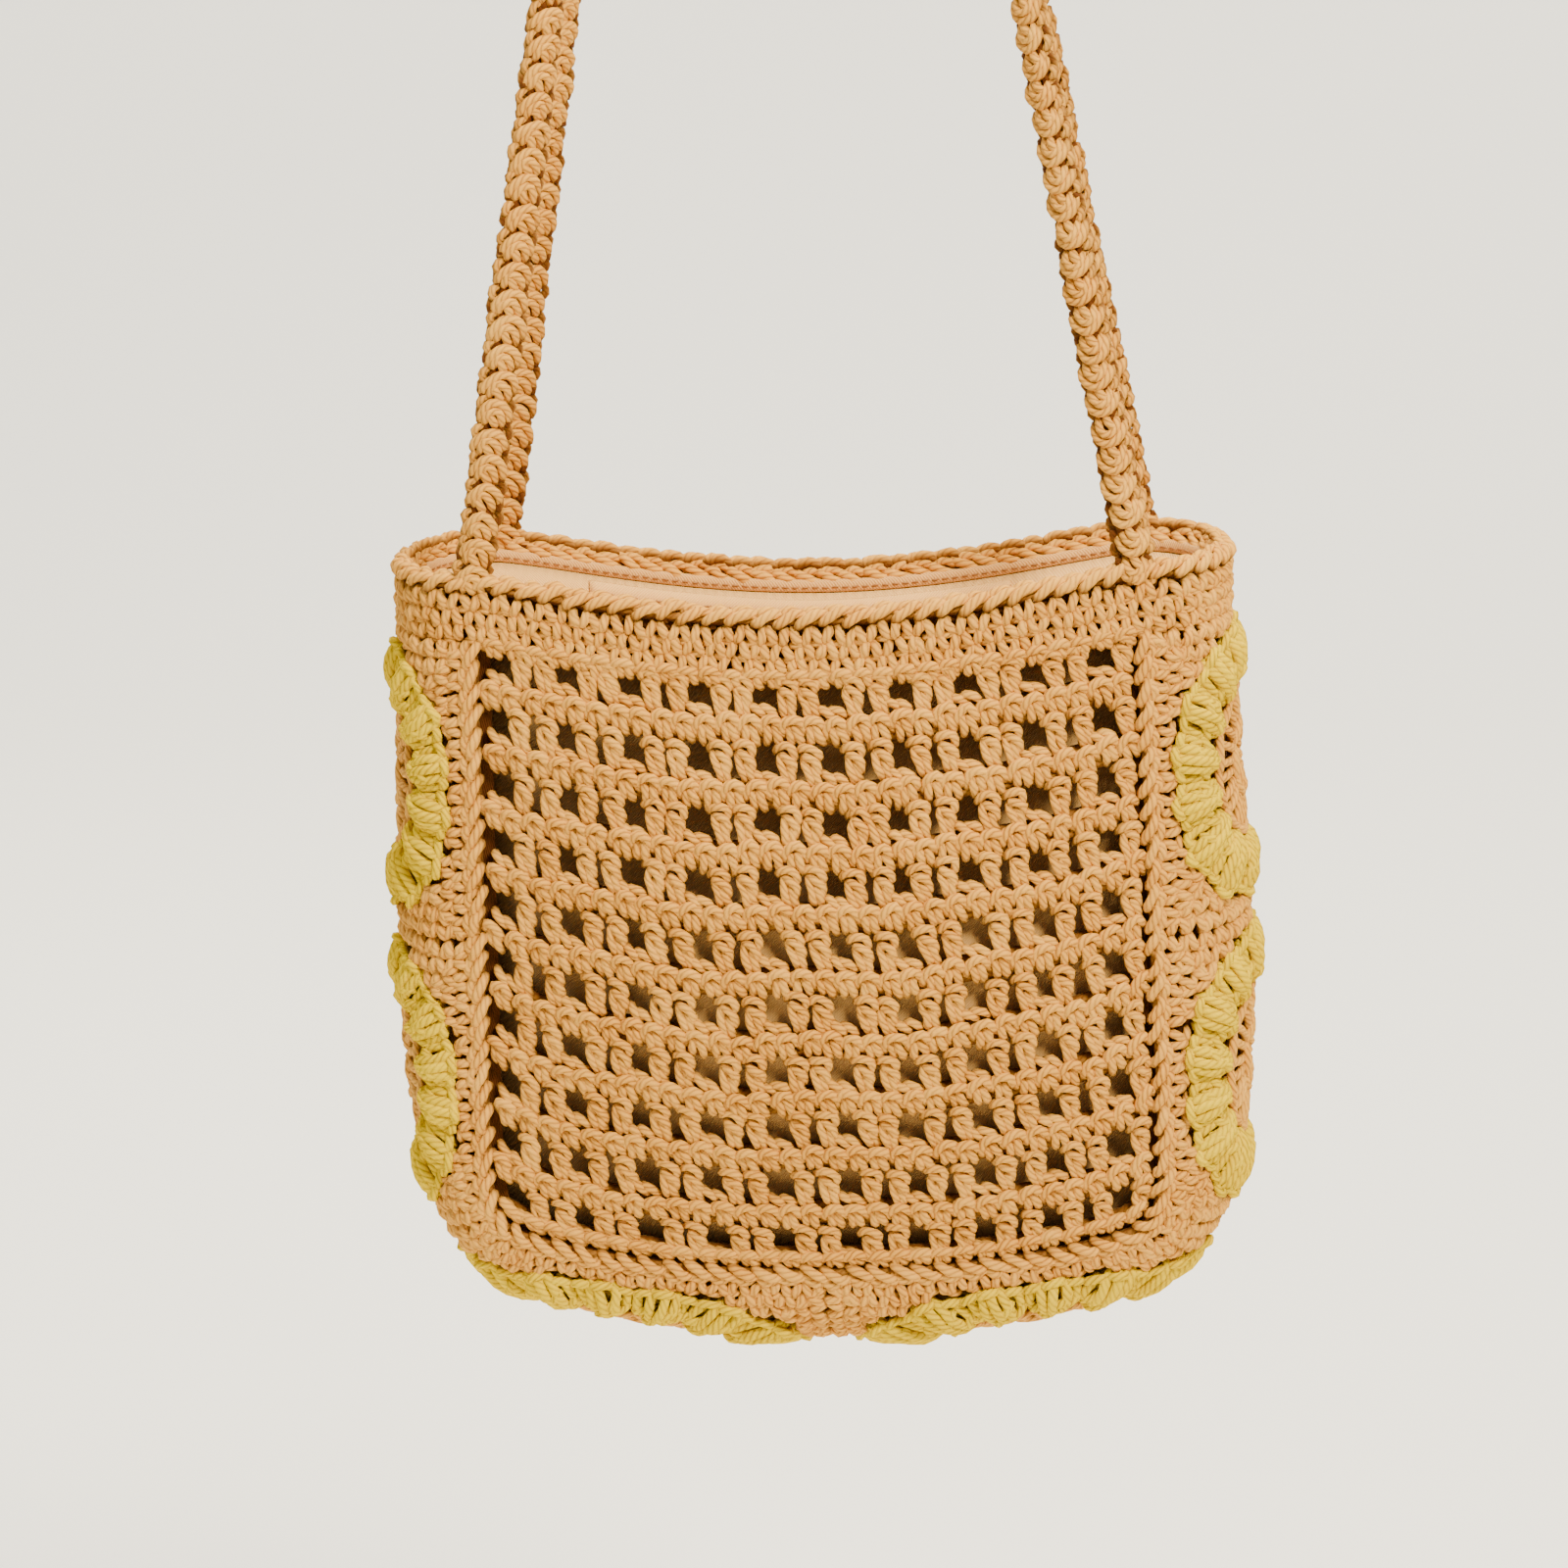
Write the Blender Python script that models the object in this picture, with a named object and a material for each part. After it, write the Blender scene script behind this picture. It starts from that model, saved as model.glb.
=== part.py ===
"""Crocheted cotton shoulder bag, hanging from its two narrow straps.

The front and back are flat crocheted panels joined by a gusset of six granny squares. A raised braid covers
each seam, a solid band and a braided rim close the mouth, and a cotton twill lining hangs inside.

Metres, +Z up. +X is the right of the front, which faces -Y. The origin is the underside of the straps where
they lie over whatever holds the bag up.
"""

import math

import bmesh
import bpy
import numpy as np

# Panels and gusset
PANEL_WIDTH = 0.203  # between the two seams of the front, at the bottom
MOUTH_TAPER = 0.045  # how much narrower the front is at the band, as a share
PANEL_HEIGHT = 0.180  # from the band down to the bottom corners
PANEL_TOP_SAG = 0.0105  # how far the band's lower edge hangs down at the middle
PANEL_BOTTOM_SAG = 0.015  # how far the bottom seam hangs below its corners
CORNER_POWER = 24.0  # a higher power makes the bottom corners sharper
BAG_DEPTH = 0.060  # between the front and the back seam
FABRIC = 0.004  # crocheted wall
FRONT_BULGE_TOP = 0.005
FRONT_BULGE_MIDDLE = 0.010
BACK_BULGE_TOP = 0.003
BACK_BULGE_MIDDLE = 0.004
GUSSET_BULGE = 0.026  # how far the gusset swells out of the seams at the bottom
PIECE_GAP = 0.0004  # between two pieces sewn or crocheted together
EDGE_GAP = 0.0005  # between a seam ridge and the cloth beside it

# Mesh of the front panel
MESH_COLUMNS = 10
MESH_ROWS = 10
GAP_WIDTH_SHARE = 0.30  # of the pitch of the columns
GAP_HEIGHT_SHARE = 0.46  # of the pitch of the rows
FIRST_COLUMN, LAST_COLUMN = 0.030, 0.950  # middles of the outer gaps, shares of the width from the left
FIRST_ROW, LAST_ROW = 0.034, 0.962  # the same down from the band

# Seams, band and rim
RIDGE_RADIUS = 0.0026
RIDGE_PROUD = 0.0012  # how far the middle of the braid stands in front of the seam
BAND_HEIGHT = 0.0145
RIM_RADIUS = 0.0024
RIM_EXTRA_SAG_FRONT = 0.0006  # what the rim hangs down more than the panel below it
RIM_EXTRA_SAG_BACK = 0.0011

# Granny squares
RING_REACH = 0.88  # outer edge of the yellow ring, share of half a square
CENTRE_REACH = 0.50  # edge of the tan centre, share of half a square
RING_ROUNDNESS = 2.6
CENTRE_ROUNDNESS = 2.2
PUFF_HEIGHT = 0.0026  # how far a cluster stands proud of the cloth
PUFF_VALLEY_SHARE = 0.35
SQUARE_CELLS = 8  # along each side of a square
CENTRE_CELLS = 4

# Lining
LINING_WALL = 0.0012
HEM_THICKNESS = 0.0024
HEM_HEIGHT = 0.004
HEM_DROP = 0.0048  # from the top of the rim down to the hem
LINING_CLEARANCE = 0.0165  # from the lining's bottom down to the middle of the gusset's cloth
POCKET_WIDTH = 0.126
POCKET_HEIGHT = 0.100
POCKET_DROP = 0.0015  # from the hem down to the pocket's edge
POCKET_OFFSET = -0.006  # the pocket lies this far from the middle

# Straps
STRAP_WIDTH = 0.010
STRAP_THICKNESS = 0.006
STRAP_SPREAD = 0.190  # between the two ends of one strap
STRAP_DROP = 0.385  # from the underside of the apex down to the rim
SUPPORT_RADIUS = 0.031  # of the bend over the support
STRAP_SIDE_GAP = 0.0006  # between the two straps at the apex

# How far the gusset bulges. Place: 0 at the band, 1 at the bottom corner, 2 at the middle of the bottom.
# Bulge: share of GUSSET_BULGE.
GUSSET_SECTIONS = (
    {"place": 0.00, "bulge": 0.88},
    {"place": 0.35, "bulge": 0.95},
    {"place": 0.75, "bulge": 0.93},
    {"place": 1.00, "bulge": 0.74},
    {"place": 1.40, "bulge": 0.93},
    {"place": 2.00, "bulge": 1.00},
)

# Levels of the lining. Drop: share of the way from the hem to the bottom. Width: share of half the panel.
# Side: share of the gusset's bulge at the top. Front and back: shares of half the depth. Swell: share of the
# front's bulge at the top.
LINING_SECTIONS = (
    {"drop": 0.00, "width": 1.00, "side": 1.00, "front": 1.00, "swell": 1.00, "back": 1.00},
    {"drop": 0.10, "width": 0.98, "side": 0.72, "front": 0.72, "swell": 0.80, "back": 1.00},
    {"drop": 0.28, "width": 0.97, "side": 0.68, "front": 0.80, "swell": 1.80, "back": 1.00},
    {"drop": 0.42, "width": 0.97, "side": 0.70, "front": 0.84, "swell": 3.10, "back": 1.00},
    {"drop": 0.62, "width": 0.96, "side": 0.70, "front": 0.84, "swell": 3.10, "back": 1.00},
    {"drop": 0.78, "width": 0.94, "side": 0.66, "front": 0.82, "swell": 1.90, "back": 1.00},
    {"drop": 0.94, "width": 0.88, "side": 0.50, "front": 0.62, "swell": 0.80, "back": 0.84},
    {"drop": 1.00, "width": 0.66, "side": 0.20, "front": 0.25, "swell": 0.20, "back": 0.40},
)

# Shape details that follow a rule
SAG_POWER = 2.4  # how evenly the bottom seam sags
BULGE_POWER = 2.5  # how flat a bulging panel stays across its width
MOUTH_POWER = 1.3  # softens the ends of the mouth's sag
LOOP_POINTS = 54  # round the mouth
LINING_POINTS = 44
RIDGE_POINTS = 54
STRAIGHT_RINGS = 12
ARCH_RINGS = 9
CORD_SIDES = 6
STRAP_SIDES = 8
STRAP_SQUARENESS = 2.8

# Sizes that follow from the ones above
HALF_WIDTH = PANEL_WIDTH / 2
MOUTH_HALF_WIDTH = HALF_WIDTH * (1 - MOUTH_TAPER)
HALF_DEPTH = BAG_DEPTH / 2
SEAT = RIDGE_RADIUS + EDGE_GAP  # from the seam's line to the cloth beside it
RIM_Z = -STRAP_DROP
PANEL_Z = RIM_Z - BAND_HEIGHT - 2 * RIM_RADIUS
MOUTH_BULGE = GUSSET_BULGE * GUSSET_SECTIONS[0]["bulge"]

TAN = (0.64, 0.42, 0.23)
YELLOW = (0.93, 0.69, 0.01)
TWILL = (0.62, 0.41, 0.20)


def clear_scene():
    """Remove every object of the scene the script is run in."""
    for found in list(bpy.data.objects):
        bpy.data.objects.remove(found)


def make_material(name, colour, roughness):
    """A matt Principled material, made once for each name."""
    found = bpy.data.materials.get(name)
    if found:
        return found
    made = bpy.data.materials.new(name)
    made.use_nodes = True
    shader = made.node_tree.nodes["Principled BSDF"]
    shader.inputs["Base Color"].default_value = (*colour, 1.0)
    shader.inputs["Roughness"].default_value = roughness
    shader.inputs["Metallic"].default_value = 0.0
    made.diffuse_color = (*colour, 1.0)
    return made


def add_object(name, points, faces, material):
    """Link one closed mesh, its faces turned outwards, as the object of a sub-part."""
    mesh = bpy.data.meshes.new(name)
    mesh.from_pydata([tuple(point) for point in points], [], faces)
    body = bmesh.new()
    body.from_mesh(mesh)
    bmesh.ops.recalc_face_normals(body, faces=body.faces)
    body.to_mesh(mesh)
    body.free()
    mesh.materials.append(material)
    mesh.shade_smooth()
    mesh.set_sharp_from_angle(angle=math.radians(40))
    made = bpy.data.objects.new(name, mesh)
    bpy.context.scene.collection.objects.link(made)
    return made


def spline_rows(place, rows, key, column):
    """Read a table's column at any place, on a smooth curve through its rows."""
    places = np.array([row[key] for row in rows])
    values = np.array([row[column] for row in rows])
    slopes = np.gradient(values, places)
    index = np.clip(np.searchsorted(places, place) - 1, 0, len(places) - 2)
    span = places[index + 1] - places[index]
    share = np.clip((place - places[index]) / span, 0.0, 1.0)
    ease = share * share * (3 - 2 * share)
    leave = share * (1 - share) ** 2 * span * slopes[index]
    arrive = share * share * (share - 1) * span * slopes[index + 1]
    return values[index] * (1 - ease) + values[index + 1] * ease + leave + arrive


def walled_faces(kept, wrap):
    """Faces of a wall with two skins over the kept cells of a grid.

    The first skin's points come first, then the second's. Where a kept cell has no neighbour, a face closes
    the wall's edge. With wrap, the last row of cells meets the first.
    """
    rows, columns = kept.shape
    point_rows = rows if wrap else rows + 1
    skin = point_rows * (columns + 1)

    def corner(i, j):
        return (i % point_rows) * (columns + 1) + j

    def is_kept(i, j):
        if wrap:
            i %= rows
        return 0 <= i < rows and 0 <= j < columns and kept[i, j]

    faces = []
    for i in range(rows):
        for j in range(columns):
            if not kept[i, j]:
                continue
            a, b, c, d = corner(i, j), corner(i + 1, j), corner(i + 1, j + 1), corner(i, j + 1)
            faces.append((a, b, c, d))
            faces.append((a + skin, d + skin, c + skin, b + skin))
            borders = ((a, b, (i, j - 1)), (b, c, (i + 1, j)), (c, d, (i, j + 1)), (d, a, (i - 1, j)))
            for start, end, neighbour in borders:
                if not is_kept(*neighbour):
                    faces.append((start, start + skin, end + skin, end))
    return faces


def add_wall(name, middle, normal, outer, inner, material, kept=None, wrap=False):
    """A wall round a grid of middle points, which reaches outer and inner along the normals."""
    rows, columns = middle.shape[:2]
    if kept is None:
        kept = np.ones((rows if wrap else rows - 1, columns - 1), dtype=bool)
    skins = []
    for reach in (outer, -inner):
        reach = np.broadcast_to(reach, middle.shape[:2])
        skins.append((middle + normal * reach[..., None]).reshape(-1, 3))
    faces = walled_faces(kept, wrap)
    points = np.concatenate(skins)
    used = sorted({index for face in faces for index in face})
    place = {index: order for order, index in enumerate(used)}
    faces = [tuple(place[index] for index in face) for face in faces]
    return add_object(name, points[used], faces, material)


def add_tube(name, rings, material, closed=False):
    """A solid skinned over rings of points, either a closed loop or capped at both ends."""
    rings = np.asarray(rings)
    count, sides = rings.shape[:2]
    faces = []
    for i in range(count if closed else count - 1):
        here, there = i * sides, (i + 1) % count * sides
        for j in range(sides):
            after = (j + 1) % sides
            faces.append((here + j, here + after, there + after, there + j))
    if not closed:
        faces.append(tuple(range(sides)))
        faces.append(tuple((count - 1) * sides + j for j in range(sides)))
    return add_object(name, rings.reshape(-1, 3), faces, material)


def unit(vectors):
    """Vectors of length one."""
    return vectors / np.linalg.norm(vectors, axis=-1, keepdims=True)


def surface_normals(surface, p, q):
    """Normals of a surface given by a function of p and q, by small steps to each side."""
    step = 1e-4
    along = surface(p + step, q) - surface(p - step, q)
    across = surface(p, q + step) - surface(p, q - step)
    return unit(np.cross(across, along))


def seam_half_width(share):
    """Half width of the seam's outline, as a share, at a share of its height."""
    return (1 - np.clip(share, 0, 1) ** CORNER_POWER) ** (1 / CORNER_POWER)


def taper(drop):
    """How much narrower the bag is at a share of the way down from the band to the bottom corners."""
    return 1 - MOUTH_TAPER * (1 - np.clip(drop, 0, 1))


def seam_bottom(x):
    """Height of the bottom seam under the band's corners, at x."""
    share = np.abs(x) / HALF_WIDTH
    sag = PANEL_BOTTOM_SAG * (1 - share**SAG_POWER)
    return PANEL_Z - PANEL_HEIGHT * seam_half_width(share) - sag


def mouth_sag(x, depth):
    """How far an edge at the mouth hangs down at x."""
    share = np.clip(np.abs(x) / MOUTH_HALF_WIDTH, 0, 1)
    return depth * (1 - share**2) ** MOUTH_POWER


class SeamPath:
    """The seam from the left of the band, round the bottom, up to the right of the band.

    It is read by a travel from 0 to 1, which runs evenly along the gusset and not along the seam itself, so
    that the gusset's squares come out alike. The bottom corners lie at corner and 1 - corner.
    """

    def __init__(self, samples=1441):
        angle = np.linspace(0, math.pi, samples)
        cosine, sine = np.cos(angle), np.sin(angle)
        power = CORNER_POWER
        reach = (np.abs(cosine) ** power + np.abs(sine) ** power) ** (-1 / power)
        self.x = -HALF_WIDTH * cosine * reach
        sag = PANEL_BOTTOM_SAG * (1 - np.abs(self.x / HALF_WIDTH) ** SAG_POWER)
        self.z = PANEL_Z - PANEL_HEIGHT * sine * reach - sag
        self.x *= taper(sine * reach)
        run_x, run_z = np.gradient(self.x), np.gradient(self.z)
        length = np.hypot(run_x, run_z)
        self.out_x, self.out_z = run_z / length, -run_x / length
        half_out = GUSSET_BULGE / 2
        steps = np.hypot(np.diff(self.x + self.out_x * half_out), np.diff(self.z + self.out_z * half_out))
        travelled = np.concatenate([[0], np.cumsum(steps)])
        self.length = travelled[-1]
        self.travel = travelled / self.length
        self.corner = float(np.interp(math.pi / 4, angle, self.travel))

    def read(self, travel):
        """Position and outward direction in the plane of the seam, at each travel."""
        values = (self.x, self.z, self.out_x, self.out_z)
        x, z, out_x, out_z = (np.interp(travel, self.travel, value) for value in values)
        zero = np.zeros_like(x)
        return np.stack([x, zero, z], axis=-1), np.stack([out_x, zero, out_z], axis=-1)

    def bulge(self, travel):
        """How far the gusset stands out of the seam at each travel."""
        travel = np.minimum(travel, 1 - travel)
        side = travel / self.corner
        bottom = 1 + (travel - self.corner) / (0.5 - self.corner)
        place = np.where(side < 1, side, bottom)
        return GUSSET_BULGE * spline_rows(place, GUSSET_SECTIONS, "place", "bulge")

    def gusset(self, travel, across):
        """The gusset's middle surface. Across runs from -1 at the front seam to 1 at the back seam."""
        point, out = self.read(travel)
        rise = SEAT + (self.bulge(travel) - SEAT) * np.cos(across * math.pi / 2)
        point = point + out * rise[..., None]
        point[..., 1] = HALF_DEPTH * np.sin(across * math.pi / 2)
        return point


def mouth_outline(width, side, front, back, front_swell, back_swell, count):
    """A loop round the mouth, seen from above, with evenly spaced points.

    Returns x, y and, for each point, how much of the front's and of the back's sag reaches it.
    """
    quarter = np.linspace(0, 1, 60, endpoint=False)
    run = np.linspace(-1, 1, 120, endpoint=False)
    arc_out, arc_along = np.cos(quarter * math.pi / 2), np.sin(quarter * math.pi / 2)
    swell = 1 - np.abs(run) ** BULGE_POWER
    x = [
        -width - side * arc_out,
        width * run,
        width + side * arc_along,
        width + side * arc_out,
        -width * run,
        -width - side * arc_along,
    ]
    y = [
        -front * arc_along,
        -front - front_swell * swell,
        -front * arc_out,
        back * arc_along,
        back + back_swell * swell,
        back * arc_out,
    ]
    x, y = np.concatenate(x), np.concatenate(y)
    steps = np.hypot(np.diff(x, append=x[0]), np.diff(y, append=y[0]))
    travelled = np.concatenate([[0], np.cumsum(steps)])
    wanted = np.linspace(0, travelled[-1], count, endpoint=False)
    x = np.interp(wanted, travelled, np.append(x, x[0]))
    y = np.interp(wanted, travelled, np.append(y, y[0]))
    return x, y


def mouth_loop():
    """The mouth's outline through the middle of the band, and the directions out of it."""
    x, y = mouth_outline(
        MOUTH_HALF_WIDTH,
        MOUTH_BULGE,
        HALF_DEPTH,
        HALF_DEPTH,
        FRONT_BULGE_TOP,
        BACK_BULGE_TOP,
        LOOP_POINTS,
    )
    return x, y, loop_normals(x, y)


def panel_edge_height(x):
    """Height of the panels' and the gusset's upper edge."""
    return PANEL_Z - mouth_sag(x, PANEL_TOP_SAG)


def rim_height(x, y):
    """Height of the top of the rim."""
    extra = np.where(y < 0, RIM_EXTRA_SAG_FRONT, RIM_EXTRA_SAG_BACK)
    return RIM_Z - mouth_sag(x, PANEL_TOP_SAG + extra)


def loop_normals(x, y):
    """Directions that point out of a closed loop, seen from above."""
    run_x = np.roll(x, -1) - np.roll(x, 1)
    run_y = np.roll(y, -1) - np.roll(y, 1)
    return unit(np.stack([run_y, -run_x, np.zeros_like(x)], axis=-1))


def make_panel(name, facing, bulge_top, bulge_middle, rows, columns, kept, material):
    """A panel between the seams. Facing is -1 for the front and 1 for the back."""
    corner_share = 2 ** (-1 / CORNER_POWER)

    def surface(across, down):
        half = HALF_WIDTH * taper(down) * seam_half_width(corner_share * down) - SEAT
        x = across * half
        top = panel_edge_height(x) - PIECE_GAP
        bottom = seam_bottom(across * HALF_WIDTH * corner_share) + SEAT
        swell = bulge_top * (1 - down) + bulge_middle * np.sin(math.pi * np.clip(down, 0, 1))
        y = facing * (HALF_DEPTH + swell * (1 - np.abs(across) ** BULGE_POWER))
        return np.stack([x, y, top + (bottom - top) * down], axis=-1)

    across, down = np.meshgrid(columns, rows)
    inner_across, inner_down = np.clip(across, -0.999, 0.999), np.clip(down, 0.001, 0.999)
    normal = surface_normals(surface, inner_across, inner_down) * -facing
    return add_wall(name, surface(across, down), normal, FABRIC / 2, FABRIC / 2, material, kept)


def gap_edges(count, share, first, last):
    """Edges of cells along a mesh, where every second cell is a gap that takes a share of the pitch."""
    pitch = (last - first) / (count - 1)
    edges = [0.0]
    for i in range(count):
        middle = first + i * pitch
        edges += [middle - share * pitch / 2, middle + share * pitch / 2]
    return np.array(edges + [1.0])


def make_front_panel(material):
    """The mesh panel, with its square gaps cut through."""
    columns = gap_edges(MESH_COLUMNS, GAP_WIDTH_SHARE, FIRST_COLUMN, LAST_COLUMN) * 2 - 1
    rows = gap_edges(MESH_ROWS, GAP_HEIGHT_SHARE, FIRST_ROW, LAST_ROW)
    kept = np.ones((len(rows) - 1, len(columns) - 1), dtype=bool)
    kept[1::2, 1::2] = False
    make_panel("front_panel", -1, FRONT_BULGE_TOP, FRONT_BULGE_MIDDLE, rows, columns, kept, material)


def make_back_panel(material):
    """The same panel behind, without its gaps."""
    rows, columns = np.linspace(0, 1, 9), np.linspace(-1, 1, 11)
    make_panel("back_panel", 1, BACK_BULGE_TOP, BACK_BULGE_MIDDLE, rows, columns, None, material)


def square_edge(cells):
    """Points round the edge of a square from -1 to 1, evenly spaced, as an angle and a distance."""
    side = np.linspace(-1, 1, cells, endpoint=False)
    one = np.ones_like(side)
    p = np.concatenate([side, one, -side, -one])
    q = np.concatenate([-one, side, one, -side])
    return np.arctan2(q, p), np.hypot(p, q)


def round_reach(angle, roundness):
    """Reach of a rounded square of half width one in the direction of an angle."""
    return (np.abs(np.cos(angle)) ** roundness + np.abs(np.sin(angle)) ** roundness) ** (-1 / roundness)


class GrannySquare:
    """One square of the gusset, in coordinates p along the seams and q across, from -1 to 1."""

    def __init__(self, name, path, start, end):
        self.name = name
        self.path = path
        joint = PIECE_GAP * 1.5 / path.length / 2
        self.start, self.end = start + joint, end - joint
        self.gap = PIECE_GAP / HALF_DEPTH

    def surface(self, p, q):
        """The square's middle surface."""
        travel = self.start + (self.end - self.start) * (p + 1) / 2
        return self.path.gusset(travel, q)

    def frame(self, p, q):
        """Points and outward normals."""
        return self.surface(p, q), surface_normals(self.surface, p, q)

    def polar(self, angle, reaches):
        """Points and normals on rings round the middle, with one ring for each row of reaches."""
        return self.frame(np.cos(angle) * reaches, np.sin(angle) * reaches)

    def make_border(self, material):
        """The tan outer rounds, from the yellow ring to the square's edge."""
        angle, edge = square_edge(SQUARE_CELLS)
        inside = RING_REACH * round_reach(angle, RING_ROUNDNESS) + self.gap / 2
        middle, normal = self.polar(angle[:, None], np.stack([inside, edge], axis=1))
        half = FABRIC / 2
        add_wall(self.name + "_border", middle, normal, half, half, material, wrap=True)

    def make_ring(self, material):
        """The yellow round of puffy clusters, high on every second point."""
        angle, _ = square_edge(SQUARE_CELLS)
        outside = RING_REACH * round_reach(angle, RING_ROUNDNESS) - self.gap / 2
        inside = CENTRE_REACH * round_reach(angle, CENTRE_ROUNDNESS) + self.gap / 2
        reaches = np.stack([inside, (inside + outside) / 2, outside], axis=1)
        middle, normal = self.polar(angle[:, None], reaches)
        puff = np.where(np.arange(len(angle)) % 2 == 0, 1.0, PUFF_VALLEY_SHARE)
        outer = np.full(reaches.shape, FABRIC / 2)
        outer[:, 1] += PUFF_HEIGHT * puff
        add_wall(self.name + "_ring", middle, normal, outer, FABRIC / 2, material, wrap=True)

    def make_centre(self, material):
        """The tan rounds in the middle."""
        line = np.linspace(-1, 1, CENTRE_CELLS + 1)
        p, q = np.meshgrid(line, line, indexing="ij")
        angle = np.arctan2(q, p)
        edge = CENTRE_REACH * round_reach(angle, CENTRE_ROUNDNESS) - self.gap / 2
        reach = np.maximum(np.abs(p), np.abs(q)) * edge
        middle, normal = self.polar(angle, reach)
        half = FABRIC / 2
        add_wall(self.name + "_centre", middle, normal, half, half, material)


def make_squares(path, tan, yellow):
    """Six squares: two down each side and two along the bottom."""
    corner = path.corner
    joints = (0.0, corner / 2, corner, 0.5, 1 - corner, 1 - corner / 2, 1.0)
    names = ("left_upper", "left_lower", "bottom_left", "bottom_right", "right_lower", "right_upper")
    for name, start, end in zip(names, joints[:-1], joints[1:]):
        square = GrannySquare("square_" + name, path, start, end)
        square.make_centre(tan)
        square.make_ring(yellow)
        square.make_border(tan)


def make_ridge(name, path, facing, material):
    """The braid on a seam, a round cord that runs down, along the bottom and up again."""
    margin = PIECE_GAP / path.length
    point, out = path.read(np.linspace(margin, 1 - margin, RIDGE_POINTS))
    turn = np.linspace(0, 2 * math.pi, CORD_SIDES, endpoint=False)
    centre = point + np.array([0.0, facing * (HALF_DEPTH + RIDGE_PROUD), 0.0])
    aside = out[:, None, :] * np.cos(turn)[None, :, None]
    ahead = np.array([0.0, 1.0, 0.0]) * np.sin(turn)[None, :, None]
    add_tube(name, centre[:, None, :] + RIDGE_RADIUS * (aside + ahead), material)


def make_top_band(material):
    """The solid rounds between the panels and the rim."""
    x, y, outward = mouth_loop()
    low = panel_edge_height(x) + PIECE_GAP
    high = rim_height(x, y) - 2 * RIM_RADIUS - PIECE_GAP
    rows = [np.stack([x, y, z], axis=-1) for z in (low, high)]
    middle = np.stack(rows, axis=1)
    normal = np.repeat(outward[:, None, :], 2, axis=1)
    add_wall("top_band", middle, normal, FABRIC / 2, FABRIC / 2, material, wrap=True)


def make_rim_braid(material):
    """The braided last round, a cord that lies on the band."""
    x, y, outward = mouth_loop()
    centre = np.stack([x, y, rim_height(x, y) - RIM_RADIUS], axis=-1)
    turn = np.linspace(0, 2 * math.pi, CORD_SIDES, endpoint=False) + math.pi / 2
    aside = outward[:, None, :] * np.cos(turn)[None, :, None]
    upward = np.array([0.0, 0.0, 1.0]) * np.sin(turn)[None, :, None]
    add_tube("rim_braid", centre[:, None, :] + RIM_RADIUS * (aside + upward), material, closed=True)


def hem_inset():
    """How far the middle of the lining's hem lies inside the middle of the band."""
    return FABRIC / 2 + PIECE_GAP + HEM_THICKNESS / 2


def make_lining_hem(material):
    """The folded edge of the lining, sewn to the inside of the band."""
    x, y, outward = mouth_loop()
    high = rim_height(x, y) - HEM_DROP
    rows = [np.stack([x, y, z], axis=-1) - outward * hem_inset() for z in (high - HEM_HEIGHT, high)]
    normal = np.repeat(outward[:, None, :], 2, axis=1)
    half = HEM_THICKNESS / 2
    add_wall("lining_hem", np.stack(rows, axis=1), normal, half, half, material, wrap=True)


def lining_level(row):
    """One level of the lining, as a loop and the directions out of it."""
    inset = hem_inset()
    x, y = mouth_outline(
        HALF_WIDTH * taper(row["drop"]) * row["width"],
        (MOUTH_BULGE - inset) * row["side"],
        (HALF_DEPTH - inset) * row["front"],
        (HALF_DEPTH - inset) * row["back"],
        FRONT_BULGE_TOP * row["swell"],
        BACK_BULGE_TOP * row["back"],
        LINING_POINTS,
    )
    top = rim_height(x, y) - HEM_DROP - HEM_HEIGHT - PIECE_GAP
    bottom = PANEL_Z - PANEL_HEIGHT - PANEL_BOTTOM_SAG - GUSSET_BULGE + LINING_CLEARANCE
    z = top + (bottom - top) * row["drop"]
    return np.stack([x, y, z], axis=-1), loop_normals(x, y)


def make_lining(material):
    """The sack inside, an open cup with a thin wall."""
    outer, inner = [], []
    for row in LINING_SECTIONS:
        point, normal = lining_level(row)
        outer.append(point + normal * LINING_WALL / 2)
        inner.append(point - normal * LINING_WALL / 2)
    inner[-1][:, 2] += LINING_WALL
    add_tube("lining", outer[::-1] + inner, material)


def make_pocket(material):
    """The slip pocket, a flat piece sewn to the lining's rear wall."""
    inset = hem_inset() + LINING_WALL + PIECE_GAP
    across, down = np.linspace(-1, 1, 7), np.array([0.0, 0.5, 1.0])
    p, q = np.meshgrid(across, down, indexing="ij")
    x = POCKET_OFFSET + p * POCKET_WIDTH / 2
    y = HALF_DEPTH - inset + BACK_BULGE_TOP * (1 - np.abs(x / HALF_WIDTH) ** BULGE_POWER)
    top = rim_height(x, y) - HEM_DROP - HEM_HEIGHT - POCKET_DROP
    z = top - q * POCKET_HEIGHT
    normal = np.zeros((*x.shape, 3))
    normal[..., 1] = -1.0
    half = LINING_WALL / 2
    add_wall("lining_pocket", np.stack([x, y, z], axis=-1), normal, half, half, material)


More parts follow.
